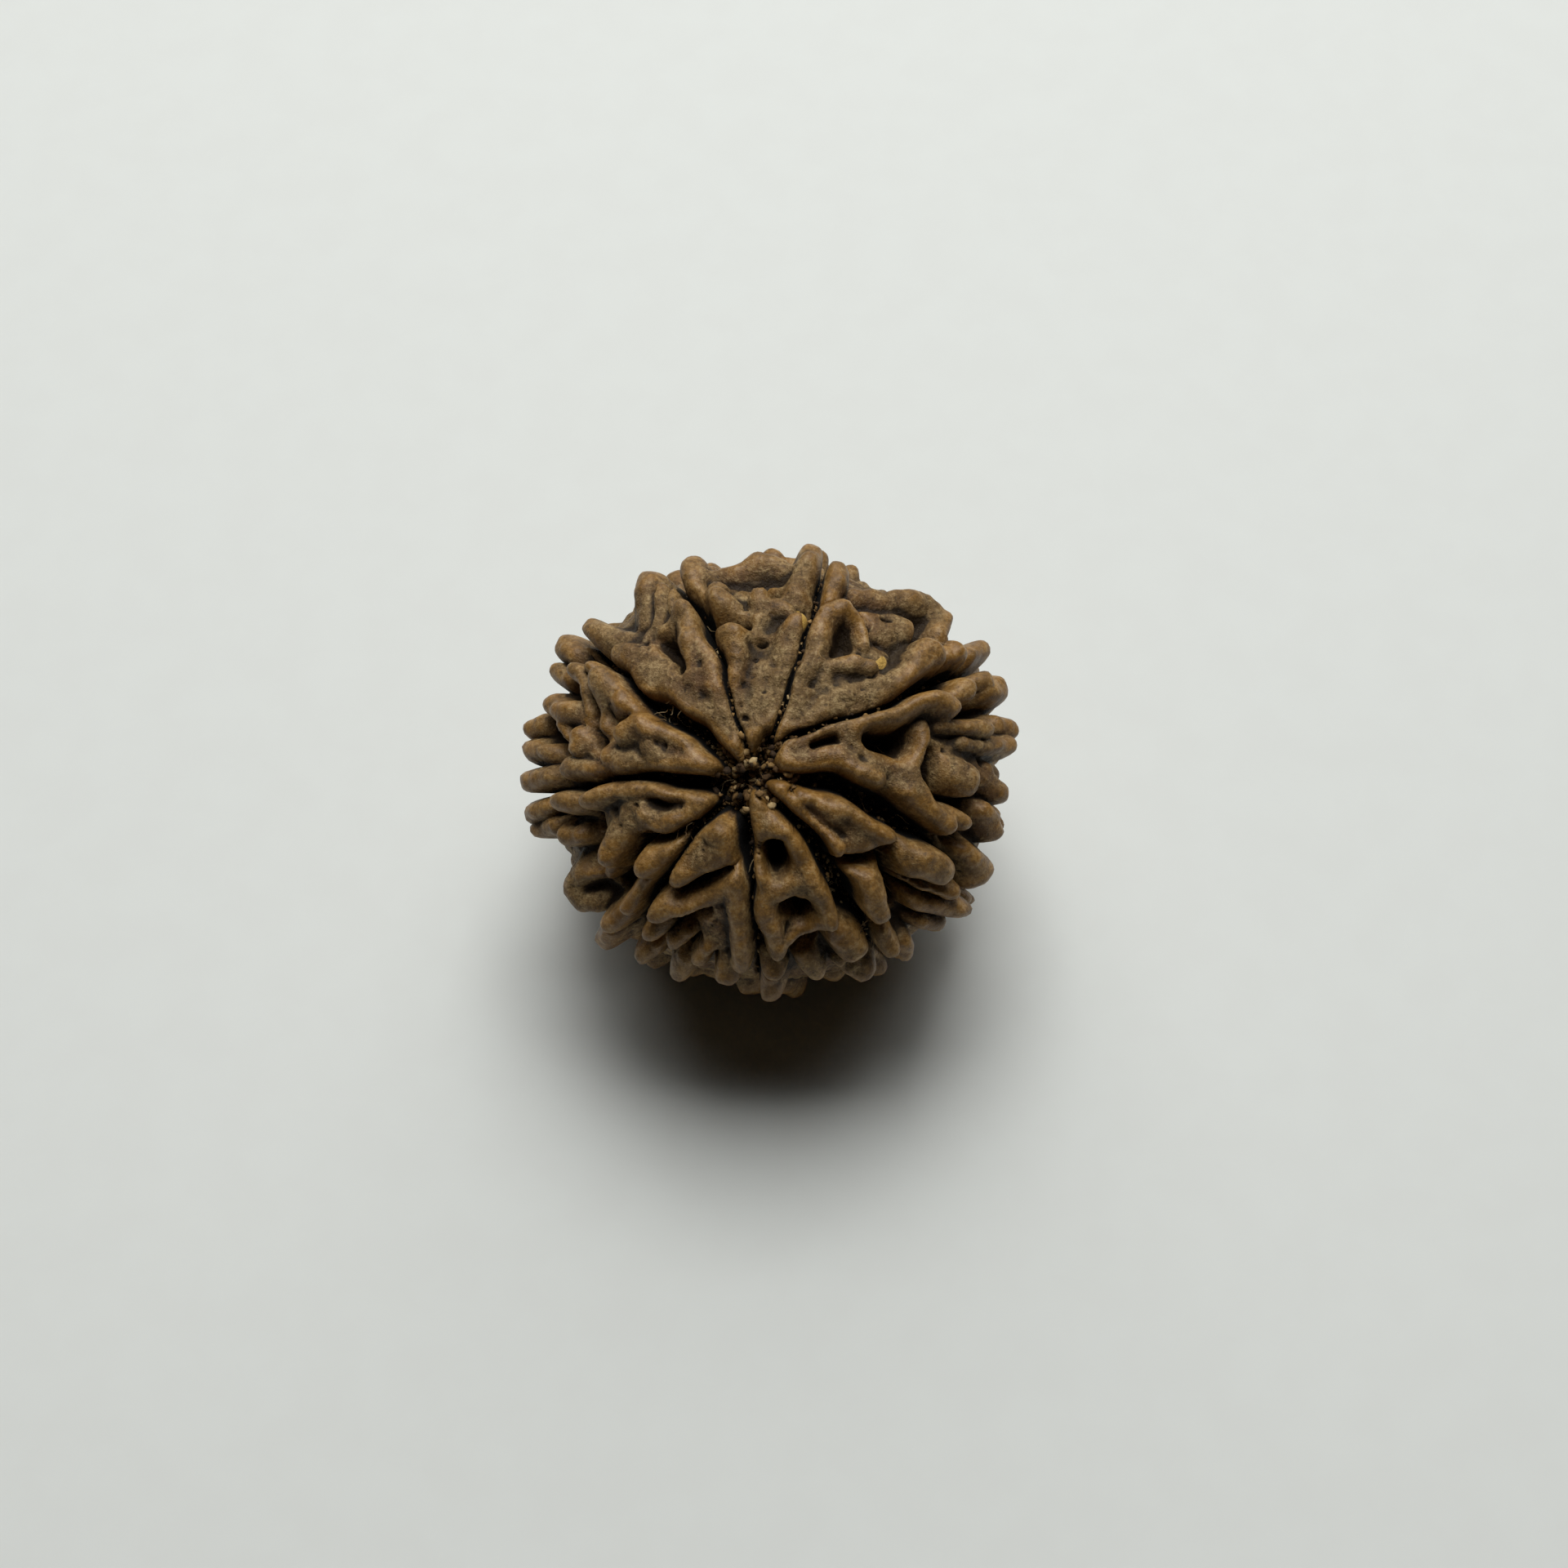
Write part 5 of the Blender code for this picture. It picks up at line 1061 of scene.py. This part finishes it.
def crumb_places(chance):
    """Where the crumbs lie, in the bead's axes, and how big they are."""
    above_ground = tipped[:, 2] > 0.4
    in_furrow = np.flatnonzero((furrow > 0.6) & above_ground)
    from_pole = np.hypot(points[:, 0], points[:, 1])
    in_pit = np.flatnonzero((hollow > 0.3) & (from_pole < PIT_RADIUS) & (points[:, 2] > 0))
    upper = points[in_furrow, 2] > -2
    odds = np.where(upper, 1.0, 0.3)
    chosen = chance.choice(in_furrow, CRUMBS_IN_FURROWS, p=odds / odds.sum())
    heaped = chance.choice(in_pit, CRUMBS_IN_PIT)
    sizes = [chance.uniform(*CRUMB_SIZES, len(chosen)), chance.uniform(*HEAP_SIZES, len(heaped))]
    lifts = [chance.uniform(*CRUMB_LIFTS, len(chosen)), chance.uniform(*HEAP_LIFTS, len(heaped))]
    both = np.concatenate([chosen, heaped])
    places = points[both] + directions[both] * np.concatenate(lifts)[:, None]
    places += chance.normal(0, 0.05, (len(both), 3))
    return places, np.concatenate(sizes)


def scatter_crumbs():
    """All crumbs as one mesh."""
    chance = np.random.default_rng(SEED)
    ball, ball_faces = small_ball(2)
    places, sizes = crumb_places(chance)
    made, faces, shades = [], [], []
    for number, (place, size) in enumerate(zip(places, sizes)):
        squash = np.array([1.0, chance.uniform(0.5, 0.95), chance.uniform(0.35, 0.8)])
        dents = 1 + chance.uniform(-0.28, 0.28, (len(ball), 1))
        made.append(place + size * (ball * dents * squash) @ any_turn(chance).T)
        faces.append(ball_faces + number * len(ball))
        shades.append(np.full(len(ball), chance.random()))
    return one_mesh("furrow_crumbs", np.concatenate(made), np.concatenate(faces), np.concatenate(shades))


crumbs = scatter_crumbs()
print("crumbs:", len(crumbs.data.polygons), "triangles")

# %% [markdown]
# ## Fibres
# Threads of the fruit's flesh cling to the furrow walls, and in four places, one of them the pit, they make
# a small nest. Each is a thin tube led along a wandering line. Hair curves would be quicker, but only a mesh
# keeps its form in other programs.

# %% Lay the fibres
FIBRE_SIDES = 5
FIBRE_STEPS = 8
FIBRE_LENGTHS = (0.35, 1.3)
FIBRE_RADII = (0.014, 0.035)
# Where the nests are: millimetres across and up the upper face, and the radius.
NESTS = {
    "left_high": (-4.2, 2.6, 0.9), "down_left": (-3.3, -3.0, 0.7), "down_right": (5.4, -7.6, 1.3),
    "pit": (-0.6, -0.4, 1.4),
}
FIBRES_IN_A_NEST = 34
LOOSE_FIBRES = 120


def fibre_starts(chance):
    """Points of the wall where a fibre starts: in the nests, in the pit, and anywhere in a furrow."""
    upper = np.flatnonzero((hollow > 0.35) & (points[:, 2] > 1))
    starts = list(chance.choice(upper, LOOSE_FIBRES))
    for across, up, radius in NESTS.values():
        middle = np.array(face_point(across, up))
        near = np.flatnonzero((np.linalg.norm(points[:, :2] - middle[:2], axis=1) < radius)
                              & (points[:, 2] > 0) & (hollow > 0.12))
        starts += list(chance.choice(near, FIBRES_IN_A_NEST))
    return starts


def wandering_line(chance, start, outwards, length):
    """The middle line of a fibre that lies on the wall and wanders."""
    heading = np.cross(outwards, chance.normal(size=3))
    heading /= np.linalg.norm(heading)
    line = [start]
    for step in range(FIBRE_STEPS - 1):
        heading = heading + chance.normal(0, 0.28, 3) + outwards * chance.uniform(-0.1, 0.22)
        heading /= np.linalg.norm(heading)
        line.append(line[-1] + heading * length / (FIBRE_STEPS - 1))
    return np.array(line)


def tube_points(line, radius):
    """Rings of points round a line, thinner towards its ends."""
    along = np.gradient(line, axis=0)
    along /= np.linalg.norm(along, axis=1)[:, None]
    side = np.cross(along, (0.3, 0.5, 0.8))
    side /= np.linalg.norm(side, axis=1)[:, None]
    other = np.cross(along, side)
    taper = radius * np.sin(np.linspace(0.35, math.pi - 0.35, len(line))) ** 0.5
    turns = np.arange(FIBRE_SIDES) * 2 * math.pi / FIBRE_SIDES
    rings = [line + taper[:, None] * (side * math.cos(turn) + other * math.sin(turn)) for turn in turns]
    return np.stack(rings, axis=1).reshape(-1, 3)


def tube_faces(rings):
    """The faces between rings of points. The ends stay open, since they are too fine to be seen."""
    faces = []
    for ring in range(rings - 1):
        for corner in range(FIBRE_SIDES):
            after = (corner + 1) % FIBRE_SIDES
            low, high = ring * FIBRE_SIDES, (ring + 1) * FIBRE_SIDES
            faces.append([low + corner, low + after, high + after, high + corner])
    return faces


def lay_fibres():
    """All fibres as one mesh."""
    chance = np.random.default_rng(SEED + 2)
    faces = np.array(tube_faces(FIBRE_STEPS))
    made, all_faces, shades = [], [], []
    for number, start in enumerate(fibre_starts(chance)):
        line = wandering_line(chance, points[start] + directions[start] * 0.05, directions[start],
                              chance.uniform(*FIBRE_LENGTHS))
        made.append(tube_points(line, chance.uniform(*FIBRE_RADII)))
        all_faces.append(faces + number * FIBRE_SIDES * FIBRE_STEPS)
        shades.append(np.full(FIBRE_SIDES * FIBRE_STEPS, chance.random()))
    return one_mesh("furrow_fibres", np.concatenate(made), np.concatenate(all_faces), np.concatenate(shades))


fibres = lay_fibres()
print("fibres:", len(fibres.data.polygons), "faces")

# %% [markdown]
# Crumbs and fibres take their colour from one ramp, from nearly black through brown to pale straw. Each has
# one shade all over, as a real crumb has, so the ramp reads the number that it was given when it was made.

# %% Paint the crumbs and fibres
def crumb_finish(name, stops):
    """Dry plant crumbs: a colour each, and a rough surface."""
    material, finish, wire = new_material(name)
    shade = wire.add("ShaderNodeAttribute", {"attribute_name": "shade"}, {}, "Fac")
    place = wire.add("ShaderNodeTexCoord", {}, {}, "Object")
    fine = wire.add("ShaderNodeTexNoise", {}, {"Vector": place, "Scale": 9000.0, "Detail": 2.0})
    tint = wire.add("ShaderNodeValToRGB", {"stops": stops}, {"Fac": shade + (fine - 0.5) * 0.5}, "Color")
    wire.tree.links.new(tint.socket, finish.inputs["Base Color"])
    finish.inputs["Roughness"].default_value = 0.9
    bump = wire.add("ShaderNodeBump", {}, {"Height": fine, "Strength": 0.8, "Distance": 0.03 * MM}, "Normal")
    wire.tree.links.new(bump.socket, finish.inputs["Normal"])
    return material


CRUMB_STOPS = [(0.0, colour(30, 20, 10)), (0.4, colour(88, 62, 32)), (0.75, colour(150, 116, 66)),
               (1.0, colour(190, 164, 118))]
FIBRE_STOPS = [(0.0, colour(66, 48, 28)), (0.5, colour(128, 102, 64)), (1.0, colour(186, 164, 124))]
for piece, stops in ((crumbs, CRUMB_STOPS), (fibres, FIBRE_STOPS)):
    piece.data.materials.append(crumb_finish(piece.name.replace("_", " "), stops))
    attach(piece, "root")
print("crumbs and fibres are painted")

# %% [markdown]
# ## Paper, light and air
# The photograph was taken on white paper under a soft light, high up and a little behind the seed: the
# shadow falls towards the camera and is very dark under the seed. Its edge has two parts, a quick one and a
# very wide faint one. So there are two area lights, a softbox and a much wider one lower down behind it.

# %% Paper
def paper_finish():
    """White paper with the faintest unevenness."""
    material, finish, wire = new_material("paper")
    place = wire.add("ShaderNodeTexCoord", {}, {}, "Object")
    fine = wire.add("ShaderNodeTexNoise", {}, {"Vector": place, "Scale": 350.0, "Detail": 4.0})
    tint = fine.between(0.3, 0.7).blend((*PAPER_SHADE, 1), (*PAPER, 1))
    wire.tree.links.new(tint.socket, finish.inputs["Base Color"])
    finish.inputs["Roughness"].default_value = 0.85
    return material


PAPER = (0.775, 0.80, 0.775)
PAPER_SHADE = (0.765, 0.787, 0.762)
PAPER_SIDE = 1.6
paper_mesh = bpy.data.meshes.new("paper")
half = PAPER_SIDE / 2
paper_corners = [(-half, -half, 0), (half, -half, 0), (half, half, 0), (-half, half, 0)]
paper_mesh.from_pydata(paper_corners, [], [(0, 1, 2, 3)])
paper_mesh.materials.append(paper_finish())
paper = bpy.data.objects.new("paper", paper_mesh)
bpy.context.scene.collection.objects.link(paper)
paper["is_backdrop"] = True
print("paper:", PAPER_SIDE, "m wide")

# %% Light
LIGHT_SIDE_DEG = 2.0       # from straight behind towards +X
LIGHT_DISTANCE = 0.38
SOFTBOX = (67.0, 0.22, 0.96)         # height over the horizon in degrees, size in metres, power in watts
WIDE_LIGHT = (54.0, 0.50, 0.96)
LIGHT_TINT = (1.0, 1.0, 0.985)
AIR = (0.95, 0.98, 1.0)
AIR_STRENGTH = 0.004


def towards(side_deg, height_deg):
    """The direction from the seed to something at an angle round from +Y, and at an angle up."""
    side, height = math.radians(side_deg), math.radians(height_deg)
    return Vector((math.sin(side) * math.cos(height), math.cos(side) * math.cos(height), math.sin(height)))


def soft_light(name, direction, distance, size, power, tint):
    """A square area light that shines on the seed."""
    lamp = bpy.data.lights.new(name, "AREA")
    lamp.size = size
    lamp.energy = power
    lamp.color = tint
    made = bpy.data.objects.new(name, lamp)
    made.location = Vector((0, 0, CENTRE_HEIGHT * MM)) + direction * distance
    made.rotation_euler = direction.to_track_quat("Z", "Y").to_euler()
    bpy.context.scene.collection.objects.link(made)


for name, (height_deg, size, power) in (("softbox", SOFTBOX), ("wide light", WIDE_LIGHT)):
    soft_light(name, towards(LIGHT_SIDE_DEG, height_deg), LIGHT_DISTANCE, size, power, LIGHT_TINT)
air = bpy.data.worlds.new("air")
air.use_nodes = True
air.node_tree.nodes["Background"].inputs["Color"].default_value = (*AIR, 1)
air.node_tree.nodes["Background"].inputs["Strength"].default_value = AIR_STRENGTH
bpy.context.scene.world = air
bpy.context.scene.view_settings.view_transform = "Standard"
print("softbox", SOFTBOX[2], "W, wide light", WIDE_LIGHT[2], "W")

# %% [markdown]
# ## Camera
# The photograph looks down on the seed at about sixty degrees, as the paper tells, which is sharp near the
# seed and softer behind it. The lens is long enough for the far knobs to look as large as the near ones. The
# seed's middle is a little off the middle of the picture, so the camera is moved by that little.

# %% Set up the camera
CAMERA_HEIGHT_DEG = 62.0
CAMERA_DISTANCE = 0.130
LENS = 60.06
SENSOR = 36.0
PICTURE_SIDE = 1920
SEED_AT = (945, 946)       # the seed's middle in the photograph, in pixels from its upper left corner

looking_back = towards(180.0, CAMERA_HEIGHT_DEG)
seed_middle = Vector((*bead_shift, CENTRE_HEIGHT * MM))
pixel = SENSOR / LENS * CAMERA_DISTANCE / PICTURE_SIDE
lens = bpy.data.cameras.new("camera")
lens.lens = LENS
lens.sensor_width = SENSOR
lens.clip_start = 0.005
camera = bpy.data.objects.new("camera", lens)
camera.rotation_euler = looking_back.to_track_quat("Z", "Y").to_euler()
right, up = (camera.rotation_euler.to_matrix() @ Vector(axis) for axis in ((1, 0, 0), (0, 1, 0)))
aside = right * (PICTURE_SIDE / 2 - SEED_AT[0]) * pixel + up * (SEED_AT[1] - PICTURE_SIDE / 2) * pixel
camera.location = seed_middle + looking_back * CAMERA_DISTANCE + aside
bpy.context.scene.collection.objects.link(camera)
bpy.context.scene.camera = camera
print("camera at", [round(1000 * part, 1) for part in camera.location], "mm")

# %% [markdown]
# ## Last look
# The fine bead has to be as large as the imported one. Both boxes are written down side by side.

# %% Print the two boxes and finish
bpy.context.view_layer.update()
look_low, look_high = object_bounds()
for name, low, high in (("packed", cad_low, cad_high), ("fine", look_low, look_high)):
    print(name, [round(1000 * part, 2) for part in (*low, *high)])
